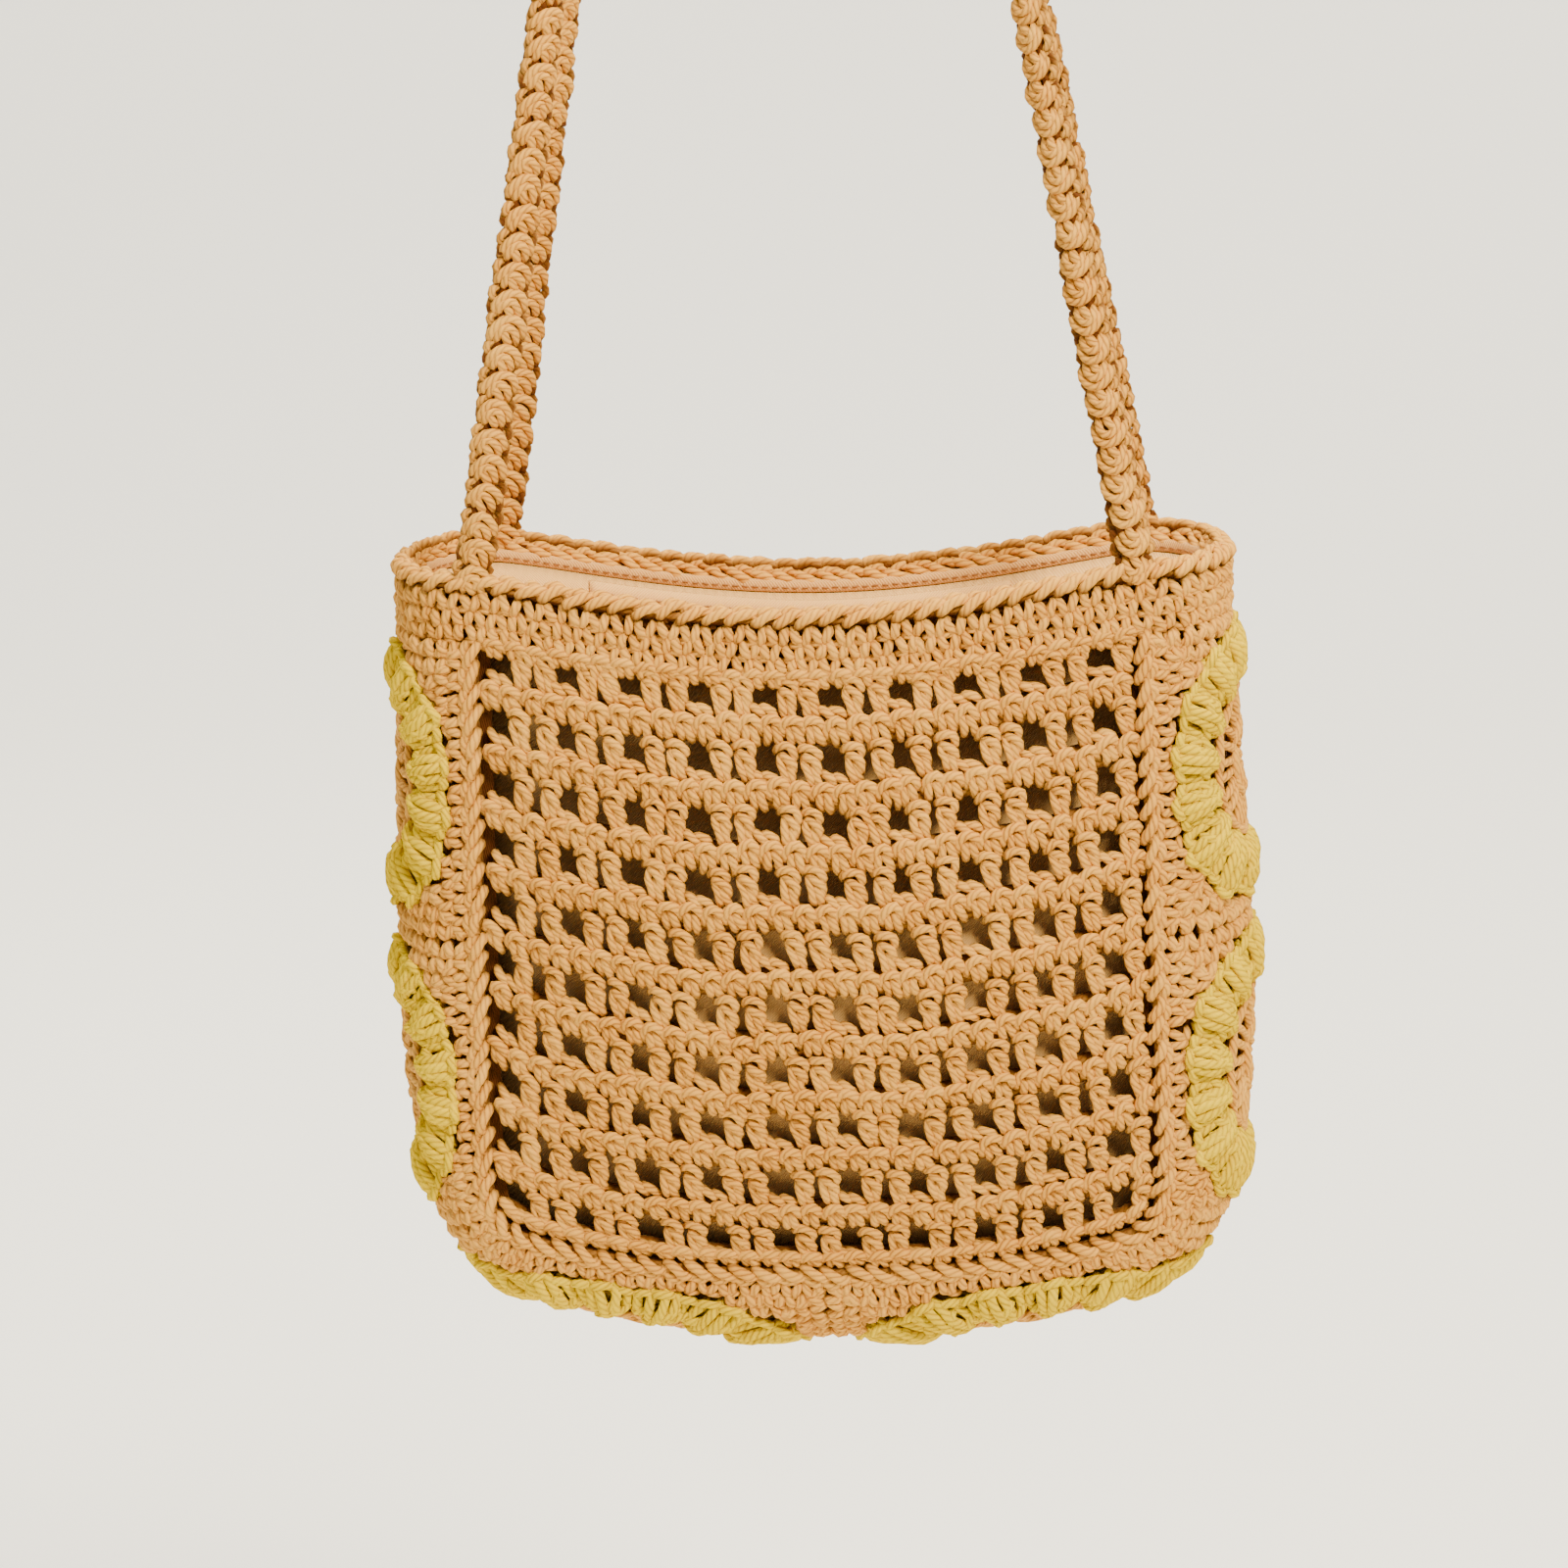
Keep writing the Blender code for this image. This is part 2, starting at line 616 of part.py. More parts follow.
def strap_route(facing):
    """Centres of a strap's rings, and for each ring how far it has turned to lie on the support."""
    radius = SUPPORT_RADIUS + STRAP_THICKNESS / 2
    foot = np.array([-STRAP_SPREAD / 2, facing * HALF_DEPTH, RIM_Z + PIECE_GAP])
    hub_z = -SUPPORT_RADIUS
    reach = math.hypot(foot[0], foot[2] - hub_z)
    lean = math.atan2(-foot[0], hub_z - foot[2]) - math.asin(radius / reach)
    start = math.pi - lean
    apex_y = facing * (STRAP_WIDTH + STRAP_SIDE_GAP) / 2
    top = np.array([radius * math.cos(start), apex_y, hub_z + radius * math.sin(start)])
    share = np.linspace(0, 1, STRAIGHT_RINGS, endpoint=False)[:, None]
    rise = foot + (top - foot) * share
    angle = np.linspace(start, math.pi - start, ARCH_RINGS)
    arch = [radius * np.cos(angle), np.full_like(angle, apex_y), hub_z + radius * np.sin(angle)]
    fall = rise[::-1] * np.array([-1.0, 1.0, 1.0])
    centres = np.concatenate([rise, np.stack(arch, axis=-1), fall])
    turned = np.concatenate([share[:, 0], np.ones(ARCH_RINGS), share[::-1, 0]])
    return centres, turned


def make_strap(name, facing, material):
    """A narrow strap over the support. It leaves the rim face on and lies flat at the top."""
    centres, turned = strap_route(facing)
    along = unit(np.gradient(centres, axis=0))
    depth = np.array([0.0, 1.0, 0.0])
    sideways = unit(np.cross(depth, along))
    quarter_turn = turned[:, None] * math.pi / 2
    wide = unit(sideways * np.cos(quarter_turn) + depth * np.sin(quarter_turn))
    thin = unit(np.cross(along, wide))
    angle = np.linspace(0, 2 * math.pi, STRAP_SIDES, endpoint=False) + math.pi / STRAP_SIDES
    reach = round_reach(angle, STRAP_SQUARENESS)
    wide_part = wide[:, None, :] * (np.cos(angle) * reach * STRAP_WIDTH / 2)[None, :, None]
    thin_part = thin[:, None, :] * (np.sin(angle) * reach * STRAP_THICKNESS / 2)[None, :, None]
    rings = centres[:, None, :] + wide_part + thin_part
    for end in (0, -1):
        rings[end, :, 2] = centres[end, 2]
    add_tube(name, rings, material)


def main():
    """Build every sub-part of the bag."""
    clear_scene()
    tan = make_material("sand_cotton_yarn", TAN, 0.9)
    yellow = make_material("yellow_cotton_yarn", YELLOW, 0.9)
    twill = make_material("cotton_twill", TWILL, 0.85)
    path = SeamPath()
    make_front_panel(tan)
    make_back_panel(tan)
    make_squares(path, tan, yellow)
    make_ridge("front_seam_ridge", path, -1, tan)
    make_ridge("back_seam_ridge", path, 1, tan)
    make_top_band(tan)
    make_rim_braid(tan)
    make_lining(twill)
    make_lining_hem(twill)
    make_pocket(twill)
    make_strap("strap_front", -1, tan)
    make_strap("strap_back", 1, tan)


main()
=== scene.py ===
"""Looks of the crocheted shoulder bag: its stitches of plied yarn, its twill lining and a plain studio.

The bag's form repeats the CAD source's named sizes. Every crocheted part is laid stitch by stitch: short
strands of yarn follow tables of points over the part's surface.
"""

import logging
import math
from collections.abc import Callable, Sequence
from dataclasses import dataclass, field
from enum import Enum
from typing import Any

import bmesh
import bpy
import numpy as np
from mathutils import Matrix, Vector


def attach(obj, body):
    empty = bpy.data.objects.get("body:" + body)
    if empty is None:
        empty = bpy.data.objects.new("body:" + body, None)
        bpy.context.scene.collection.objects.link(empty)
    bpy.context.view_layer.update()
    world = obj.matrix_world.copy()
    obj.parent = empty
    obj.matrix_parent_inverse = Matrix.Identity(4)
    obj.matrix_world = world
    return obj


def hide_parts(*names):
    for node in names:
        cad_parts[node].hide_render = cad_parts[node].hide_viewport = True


LOG = logging.getLogger("bag")
MM = 0.001
TUBE_SIDES = 6
MULTIPLY = {"operation": "MULTIPLY"}
MULTIPLY_ADD = {"operation": "MULTIPLY_ADD"}
COLOUR_MIX = {"data_type": "RGBA"}
Array = np.ndarray
Reach = Callable[[Array], Array]
Place = tuple[float, float, float]
BAG_MIDDLE: Place = (0.0, 0.0, -0.45)


class Facing(Enum):
    """Which way a panel, a seam or a strap faces, as the sign of its y."""

    FRONT = -1
    BACK = 1


class Slot(Enum):
    """Material slots of the record."""

    SAND = "sand_yarn"
    YELLOW = "yellow_yarn"
    TWILL = "cotton_twill"


@dataclass(frozen=True)
class BagSizes:
    """Sizes of the bag in metres, the same as in the CAD source."""

    half_width: float = 0.1015
    mouth_taper: float = 0.045
    panel_height: float = 0.180
    top_sag: float = 0.0105
    bottom_sag: float = 0.015
    corner_power: float = 24.0
    half_depth: float = 0.030
    fabric: float = 0.004
    gusset_bulge: float = 0.026
    piece_gap: float = 0.0004
    ridge_radius: float = 0.0026
    ridge_proud: float = 0.0012
    edge_gap: float = 0.0005
    band_height: float = 0.0145
    rim_radius: float = 0.0024
    rim_extra_front: float = 0.0006
    rim_extra_back: float = 0.0011
    ring_reach: float = 0.88
    centre_reach: float = 0.50
    ring_roundness: float = 2.6
    centre_roundness: float = 2.2
    hem_thickness: float = 0.0024
    hem_height: float = 0.004
    hem_drop: float = 0.0048
    lining_wall: float = 0.0012
    lining_bottom: float = -0.6088
    pocket_width: float = 0.126
    pocket_height: float = 0.100
    pocket_drop: float = 0.0015
    pocket_offset: float = -0.006
    strap_width: float = 0.010
    strap_thickness: float = 0.006
    strap_half_spread: float = 0.095
    rim_z: float = -0.385
    support_radius: float = 0.031
    strap_side_gap: float = 0.0006
    sag_power: float = 2.4
    bulge_power: float = 2.5
    mouth_power: float = 1.3

    @property
    def mouth_half_width(self) -> float:
        """Half width of the front at the band."""
        return self.half_width * (1 - self.mouth_taper)

    @property
    def seat(self) -> float:
        """Distance from the seam's line to the cloth beside it."""
        return self.ridge_radius + self.edge_gap

    @property
    def panel_z(self) -> float:
        """Height of the band's lower edge at its ends."""
        return self.rim_z - self.band_height - 2 * self.rim_radius

    @property
    def mouth_bulge(self) -> float:
        """How far the gusset stands out at the band."""
        return self.gusset_bulge * GUSSET_SECTIONS[0]["bulge"]

    @property
    def hem_inset(self) -> float:
        """How far the middle of the hem lies inside the middle of the band."""
        return self.fabric / 2 + self.piece_gap + self.hem_thickness / 2


@dataclass(frozen=True)
class PanelBulge:
    """How far a panel swells out of the plane of its seams, in metres.

    Attributes:
        top: At the band.
        middle: Extra, halfway down.
    """

    top: float
    middle: float


BULGES = {Facing.FRONT: PanelBulge(0.005, 0.010), Facing.BACK: PanelBulge(0.003, 0.004)}

GUSSET_SECTIONS = (
    {"place": 0.00, "bulge": 0.88},
    {"place": 0.35, "bulge": 0.95},
    {"place": 0.75, "bulge": 0.93},
    {"place": 1.00, "bulge": 0.74},
    {"place": 1.40, "bulge": 0.93},
    {"place": 2.00, "bulge": 1.00},
)

LINING_SECTIONS = (
    {"drop": 0.00, "width": 1.00, "side": 1.00, "front": 1.00, "swell": 1.00, "back": 1.00},
    {"drop": 0.10, "width": 0.98, "side": 0.72, "front": 0.72, "swell": 0.80, "back": 1.00},
    {"drop": 0.28, "width": 0.97, "side": 0.68, "front": 0.80, "swell": 1.80, "back": 1.00},
    {"drop": 0.42, "width": 0.97, "side": 0.70, "front": 0.84, "swell": 3.10, "back": 1.00},
    {"drop": 0.62, "width": 0.96, "side": 0.70, "front": 0.84, "swell": 3.10, "back": 1.00},
    {"drop": 0.78, "width": 0.94, "side": 0.66, "front": 0.82, "swell": 1.90, "back": 1.00},
    {"drop": 0.94, "width": 0.88, "side": 0.50, "front": 0.62, "swell": 0.80, "back": 0.84},
    {"drop": 1.00, "width": 0.66, "side": 0.20, "front": 0.25, "swell": 0.20, "back": 0.40},
)


@dataclass(frozen=True)
class Spread:
    """Evenly spaced places.

    Attributes:
        count: How many.
        first: The first, a share of the whole.
        last: The last.
    """

    count: int
    first: float
    last: float

    @property
    def pitch(self) -> float:
        """Between two places."""
        return (self.last - self.first) / (self.count - 1)

    def places(self) -> Array:
        """All places."""
        return np.linspace(self.first, self.last, self.count)


@dataclass(frozen=True)
class YarnSizes:
    """Sizes of the yarn and of the stitches made from it, in metres.

    Attributes:
        radius: Of the plied yarn.
        wander: How unevenly the hook leaves each strand.
        turn: How far a stitch may lean, in radians.
        columns: Gaps across the mesh, from the left.
        rows: Rows of gaps, down from the band.
        stitches_per_gap: Stitches of a solid row for each gap.
        post_offset: From a gap's middle to the post beside it.
        band_rows: Solid rows under the rim.
        band_pitch: Between two stitches of the band.
        braid_pitch: Between two loops of a braid.
        knot_pitch: Between two knots of a strap.
        clusters: Puffy clusters of a yellow ring.
        border_rounds: Rounds of a square's border.
        border_inset: From the square's edge to its last round.
        border_round: Between two rounds of the border.
        border_pitch: Between two stitches of the border.
    """

    radius: float = 0.00134
    wander: float = 0.00020
    turn: float = 0.06
    columns: Spread = Spread(10, 0.030, 0.950)
    rows: Spread = Spread(10, 0.034, 0.962)
    stitches_per_gap: int = 3
    post_offset: float = 0.0062
    band_rows: int = 3
    band_pitch: float = 0.0064
    braid_pitch: float = 0.0068
    knot_pitch: float = 0.0080
    clusters: int = 16
    border_rounds: int = 4
    border_inset: float = 0.0023
    border_round: float = 0.0049
    border_pitch: float = 0.0064


@dataclass(frozen=True)
class ThreadSizes:
    """Sizes of the sewing thread and its running stitches, in metres.

    Attributes:
        radius: Of the thread.
        hem_pitch: Between two stitches of the hem.
        pocket_pitch: Between two stitches of the pocket's edge.
        hem_place: How far down the hem its stitches run, as a share.
        pocket_place: How far below the pocket's edge its stitches run.
        along: Points of a stitch along the line.
        lift: Their heights above the cloth.
    """

    radius: float = 0.00032
    hem_pitch: float = 0.003
    pocket_pitch: float = 0.0037
    hem_place: float = 0.55
    pocket_place: float = 0.0035
    along: tuple[float, ...] = (-0.0009, -0.0006, 0.0, 0.0006, 0.0009)
    lift: tuple[float, ...] = (-0.0003, 0.00012, 0.0002, 0.00012, -0.0003)


@dataclass(frozen=True)
class Strand:
    """One strand of a stitch.

    Attributes:
        path: Points in millimetres: right (or along a cord), up (or aside) and out of the cloth.
        rings: Rings of the tube that it becomes.
        weight: Its thickness, a share of the yarn's.
    """

    path: tuple[tuple[float, float, float], ...]
    rings: int = 9
    weight: float = 1.0


SOLID_STITCH = (
    Strand(
        (
            (-2.3, -2.2, -0.8), (-3.0, 0.4, 1.0), (-1.7, 2.7, 2.2),
            (0.7, 3.6, 2.6), (2.6, 2.3, 2.0), (3.1, 0.0, 0.4),
        ),
        9,
        1.08,
    ),
    Strand(((-1.2, 1.9, 0.6), (-0.9, 0.2, 1.5), (-0.6, -1.8, 1.4), (-0.5, -4.4, -0.3)), 6, 1.04),
    Strand(((0.6, 2.0, 0.8), (1.2, 0.2, 1.8), (1.9, -1.8, 1.5), (2.5, -4.4, -0.3)), 6, 1.04),
)
CHAIN_SPACE = (
    Strand(((-4.6, 2.4, -0.6), (-2.8, 2.0, 1.1), (-0.8, 0.6, 1.5), (0.8, -1.0, 0.0)), 7),
    Strand(((-1.6, 1.2, -0.4), (0.2, 1.8, 1.2), (2.6, 0.8, 1.5), (4.0, -1.0, 0.0)), 7),
)
POST = (
    Strand(
        (
            (-3.7, 3.2, -0.8), (-2.7, 4.8, 0.8), (-0.6, 5.5, 1.9),
            (1.5, 4.9, 2.1), (2.3, 3.1, 1.6), (1.8, 1.2, 0.4),
        ),
        9,
    ),
    Strand(
        (
            (-2.0, 2.8, 0.2), (-0.7, 2.5, 1.7), (1.0, 1.6, 2.2),
            (2.0, 0.0, 1.6), (1.9, -1.8, 0.8), (1.5, -3.2, 0.2),
        ),
        8,
    ),
    Strand(
        (
            (-1.7, 3.2, 0.4), (-1.9, 0.8, 1.2), (-1.2, -1.7, 1.7),
            (-0.4, -4.1, 1.5), (0.1, -6.2, -0.2),
        ),
        8,
    ),
    Strand(
        (
            (-0.1, 0.6, 0.9), (0.7, -1.3, 1.4), (1.3, -3.3, 1.4),
            (1.7, -5.0, 0.9), (1.9, -6.4, -0.4),
        ),
        8,
    ),
)
BAND_STITCH = (
    Strand(
        (
            (-2.9, 2.0, -0.9), (-2.5, 1.6, 0.9), (-1.8, 0.3, 1.9),
            (-1.1, -1.2, 1.5), (-0.5, -2.2, -0.5),
        ),
        9,
        1.12,
    ),
    Strand(
        (
            (1.9, 2.2, -0.8), (1.8, 1.6, 1.0), (1.4, 0.2, 2.0),
            (0.9, -1.3, 1.5), (0.3, -2.2, -0.5),
        ),
        9,
        1.12,
    ),
    Strand(((-3.9, -2.6, -0.9), (-2.8, -2.1, 0.8), (-1.2, -2.2, 1.2), (0.4, -2.8, -0.2)), 7, 0.95),
)
BRAID_LOOP = (
    Strand(
        (
            (-4.8, -2.0, -0.6), (-3.2, -1.9, 1.0), (-1.0, -1.0, 2.1),
            (1.4, 0.3, 2.0), (3.4, 1.1, 0.8), (4.6, 1.2, -0.6),
        ),
        10,
        1.16,
    ),
    Strand(
        (
            (-4.2, 0.4, -0.6), (-2.6, 1.6, 0.8), (-0.6, 2.3, 1.2),
            (1.4, 1.7, 0.9), (3.2, 0.3, 0.2), (4.0, -0.8, -0.8),
        ),
        10,
        1.12,
    ),
)
STRAP_KNOT = (
    Strand(
        (
            (-3.0, -4.0, -0.8), (0.0, -4.3, 0.8), (2.4, -2.7, 2.1),
            (3.1, 0.0, 2.6), (1.6, 2.6, 2.1), (-1.2, 4.1, 0.8),
            (-3.4, 3.9, -0.8),
        ),
        12,
        1.05,
    ),
    Strand(
        (
            (-4.2, -2.7, 0.2), (-1.4, -2.4, 1.9), (0.7, -0.7, 2.8),
            (0.5, 1.3, 2.7), (-1.5, 2.4, 1.8), (-3.8, 2.4, 0.2),
        ),
        10,
    ),
    Strand(((-4.6, -1.0, 0.6), (-2.4, 0.1, 2.3), (-0.9, 1.2, 2.2), (0.4, 2.6, 0.6)), 7),
    Strand(((0.4, 3.4, -0.4), (2.2, 4.9, 0.4), (3.9, 4.2, 0.6), (4.4, 2.4, 0.0)), 7, 0.9),
)


def linear(colour: str) -> tuple[float, float, float, float]:
    """Turn a hex sRGB colour into linear light.

    Args:
        colour: Six hex digits after a hash sign.

    Returns:
        Red, green, blue and an alpha of one.
    """
    parts = [int(colour[i : i + 2], 16) / 255 for i in (1, 3, 5)]
    red, green, blue = (c / 12.92 if c <= 0.04045 else ((c + 0.055) / 1.055) ** 2.4 for c in parts)
    return red, green, blue, 1.0


def unit(vectors: Array) -> Array:
    """Vectors of length one."""
    return vectors / np.maximum(np.linalg.norm(vectors, axis=-1, keepdims=True), 1e-12)


def spline_rows(place: Array, rows: Sequence[dict[str, float]], key: str, column: str) -> Array:
    """Read a table's column at any place, on a smooth curve through its rows.

    Args:
        place: Where to read it.
        rows: The table.
        key: Name of the column that holds the places.
        column: Name of the column to read.

    Returns:
        A value for each place.
    """
    places = np.array([row[key] for row in rows])
    values = np.array([row[column] for row in rows])
    slopes = np.gradient(values, places)
    index = np.clip(np.searchsorted(places, place) - 1, 0, len(places) - 2)
    span = places[index + 1] - places[index]
    share = np.clip((place - places[index]) / span, 0.0, 1.0)
    ease = share * share * (3 - 2 * share)
    leave = share * (1 - share) ** 2 * span * slopes[index]
    arrive = share * share * (share - 1) * span * slopes[index + 1]
    return values[index] * (1 - ease) + values[index + 1] * ease + leave + arrive


def round_reach(angle: Array, roundness: float) -> Array:
    """Reach of a rounded square of half width one in the direction of an angle."""
    return (np.abs(np.cos(angle)) ** roundness + np.abs(np.sin(angle)) ** roundness) ** (-1 / roundness)


class BagForm:
    """The bag's form: its seams, its mouth and the surfaces between them."""

    def __init__(self, sizes: BagSizes) -> None:
        """Trace the seam and the mouth.

        Args:
            sizes: Sizes of the bag.
        """
        self.sizes = sizes
        self._trace_seam()

    def taper(self, drop: Array) -> Array:
        """How much narrower the bag is at a share of the way down from the band to the bottom corners."""
        return 1 - self.sizes.mouth_taper * (1 - np.clip(drop, 0, 1))

    def seam_half_width(self, share: Array) -> Array:
        """Half width of the seam's outline, as a share, at a share of its height."""
        power = self.sizes.corner_power
        return (1 - np.clip(share, 0, 1) ** power) ** (1 / power)

    def seam_bottom(self, x: Array) -> Array:
        """Height of the bottom seam at x.

        Args:
            x: Where, in metres from the middle.

        Returns:
            Heights.
        """
        s = self.sizes
        share = np.abs(x) / s.half_width
        sag = s.bottom_sag * (1 - share**s.sag_power)
        return s.panel_z - s.panel_height * self.seam_half_width(share) - sag

    def mouth_sag(self, x: Array, depth: Array | float) -> Array:
        """How far an edge at the mouth hangs down at x."""
        share = np.clip(np.abs(x) / self.sizes.mouth_half_width, 0, 1)
        return depth * (1 - share**2) ** self.sizes.mouth_power

    def edge_height(self, x: Array) -> Array:
        """Height of the panels' and the gusset's upper edge."""
        return self.sizes.panel_z - self.mouth_sag(x, self.sizes.top_sag)

    def rim_height(self, x: Array, y: Array) -> Array:
        """Height of the top of the rim.

        Args:
            x: Where, in metres from the middle.
            y: Where, in metres from front to back.

        Returns:
            Heights.
        """
        s = self.sizes
        extra = np.where(y < 0, s.rim_extra_front, s.rim_extra_back)
        return s.rim_z - self.mouth_sag(x, s.top_sag + extra)

    def _trace_seam(self) -> None:
        """Trace the seam from the left of the band, round the bottom, up to the right of the band."""
        s = self.sizes
        angle = np.linspace(0, math.pi, 1441)
        cosine, sine = np.cos(angle), np.sin(angle)
        reach = (np.abs(cosine) ** s.corner_power + np.abs(sine) ** s.corner_power) ** (-1 / s.corner_power)
        self.seam_x = -s.half_width * cosine * reach
        sag = s.bottom_sag * (1 - np.abs(self.seam_x / s.half_width) ** s.sag_power)
        self.seam_z = s.panel_z - s.panel_height * sine * reach - sag
        self.seam_x *= self.taper(sine * reach)
        run_x, run_z = np.gradient(self.seam_x), np.gradient(self.seam_z)
        length = np.hypot(run_x, run_z)
        self.out_x, self.out_z = run_z / length, -run_x / length
        half_out = s.gusset_bulge / 2
        run_x = np.diff(self.seam_x + self.out_x * half_out)
        run_z = np.diff(self.seam_z + self.out_z * half_out)
        steps = np.hypot(run_x, run_z)
        travelled = np.concatenate([[0], np.cumsum(steps)])
        self.seam_length = float(travelled[-1])
        self.travel = travelled / self.seam_length
        self.corner = float(np.interp(math.pi / 4, angle, self.travel))

    def read_seam(self, travel: Array) -> tuple[Array, Array]:
        """Position and outward direction in the plane of the seam.

        Args:
            travel: From 0 to 1, even along the gusset.

        Returns:
            Points and directions, both with a y of nought.
        """
        values = (self.seam_x, self.seam_z, self.out_x, self.out_z)
        x, z, out_x, out_z = (np.interp(travel, self.travel, value) for value in values)
        zero = np.zeros_like(x)
        return np.stack([x, zero, z], axis=-1), unit(np.stack([out_x, zero, out_z], axis=-1))

    def gusset(self, travel: Array, across: Array) -> Array:
        """Middle surface of the gusset.

        Args:
            travel: From 0 to 1 along the seam.
            across: From -1 at the front seam to 1 at the back seam.

        Returns:
            Points.
        """
        s = self.sizes
        point, out = self.read_seam(travel)
        nearer = np.minimum(travel, 1 - travel)
        bottom = 1 + (nearer - self.corner) / (0.5 - self.corner)
        place = np.where(nearer < self.corner, nearer / self.corner, bottom)
        bulge = s.gusset_bulge * spline_rows(place, GUSSET_SECTIONS, "place", "bulge")
        rise = s.seat + (bulge - s.seat) * np.cos(across * math.pi / 2)
        point = point + out * rise[..., None]
        point[..., 1] = s.half_depth * np.sin(across * math.pi / 2)
        return point

    def outline(
        self,
        width: float,
        side: float,
        depths: tuple[float, float],
        swells: tuple[float, float],
        count: int,
    ) -> Array:
        """A loop round the mouth, seen from above, with evenly spaced points.

        Args:
            width: Half width between the ends of the gusset's arcs.
            side: How far the arcs stand out.
            depths: Half depths of the front and the back.
            swells: How far the front and the back swell.
            count: Points of the loop.

        Returns:
            Points as x and y, from the middle of the left side round the front.
        """
        quarter = np.linspace(0, 1, 120, endpoint=False) * math.pi / 2
        run = np.linspace(-1, 1, 480, endpoint=False)
        swell = 1 - np.abs(run) ** self.sizes.bulge_power
        (front, back), (front_swell, back_swell) = depths, swells
        x = [-width - side * np.cos(quarter), width * run, width + side * np.sin(quarter)]
        x += [-part for part in x]
        y = [-front * np.sin(quarter), -front - front_swell * swell, -front * np.cos(quarter)]
        y += [back * np.sin(quarter), back + back_swell * swell, back * np.cos(quarter)]
        loop = np.stack([np.concatenate(x), np.concatenate(y)], axis=-1)
        steps = np.linalg.norm(np.diff(loop, axis=0, append=loop[:1]), axis=1)
        travelled = np.concatenate([[0], np.cumsum(steps)])
        wanted = np.linspace(0, travelled[-1], count, endpoint=False)
        closed = np.concatenate([loop, loop[:1]])
        return np.stack([np.interp(wanted, travelled, closed[:, i]) for i in (0, 1)], axis=-1)

    def mouth(self, count: int) -> tuple[Array, Array, Array]:
        """The mouth's loop through the middle of the band.

        Args:
            count: Points of the loop.

        Returns:
            x and y of the points, and the directions out of the loop.
        """
        s = self.sizes
        swells = (BULGES[Facing.FRONT].top, BULGES[Facing.BACK].top)
        loop = self.outline(s.mouth_half_width, s.mouth_bulge, (s.half_depth, s.half_depth), swells, count)
        return loop[:, 0], loop[:, 1], loop_normals(loop)


def loop_normals(loop: Array) -> Array:
    """Directions that point out of a closed loop, seen from above."""
    run = np.roll(loop, -1, axis=0) - np.roll(loop, 1, axis=0)
    return unit(np.stack([run[:, 1], -run[:, 0], np.zeros(len(loop))], axis=-1))


@dataclass(frozen=True)
class Laid:
    """Lines or a grid of points laid on a ground.

    Attributes:
        points: The points.
        outs: Outward directions at the points.
        lifts: Heights above the ground, in metres.
    """

    points: Array
    outs: Array
    lifts: Array

    @classmethod
    def over(cls, middle: Array, outs: Array, lift: Array) -> "Laid":
        """Lift points off a surface."""
        lift = np.broadcast_to(np.asarray(lift, float), middle.shape[:-1])
        return cls(middle + outs * lift[..., None], np.broadcast_to(outs, middle.shape), lift)

    def turned(self) -> "Laid":
        """The same grid with its columns in reverse."""
        return Laid(self.points[:, ::-1], self.outs[:, ::-1], self.lifts[:, ::-1])


class Ground:
    """Something that stitches are laid on, read by two coordinates and a height above it."""

    def point(self, a: Array, b: Array) -> Array:
        """Points of the middle surface."""
        raise NotImplementedError

    def lay(self, a: Array, b: Array, lift: Array) -> Laid:
        """Points above the surface.

        Args:
            a: First coordinate.
            b: Second coordinate.
            lift: Height along the outward normal, in metres.

        Returns:
            The laid points.
        """
        step = 1e-3
        along = self.point(a + step, b) - self.point(a - step, b)
        across = self.point(a, b + step) - self.point(a, b - step)
        return Laid.over(self.point(a, b), unit(np.cross(along, across)), lift)

    def millimetre(self, a: Array, b: Array) -> tuple[Array, Array]:
        """One millimetre in each coordinate.

        Args:
            a: First coordinate.
            b: Second coordinate.

        Returns:
            How far each coordinate moves over a millimetre.
        """
        step = 0.01
        first = np.linalg.norm(self.point(a + step, b) - self.point(a - step, b), axis=-1)
        second = np.linalg.norm(self.point(a, b + step) - self.point(a, b - step), axis=-1)
        return MM * 2 * step / first, MM * 2 * step / second


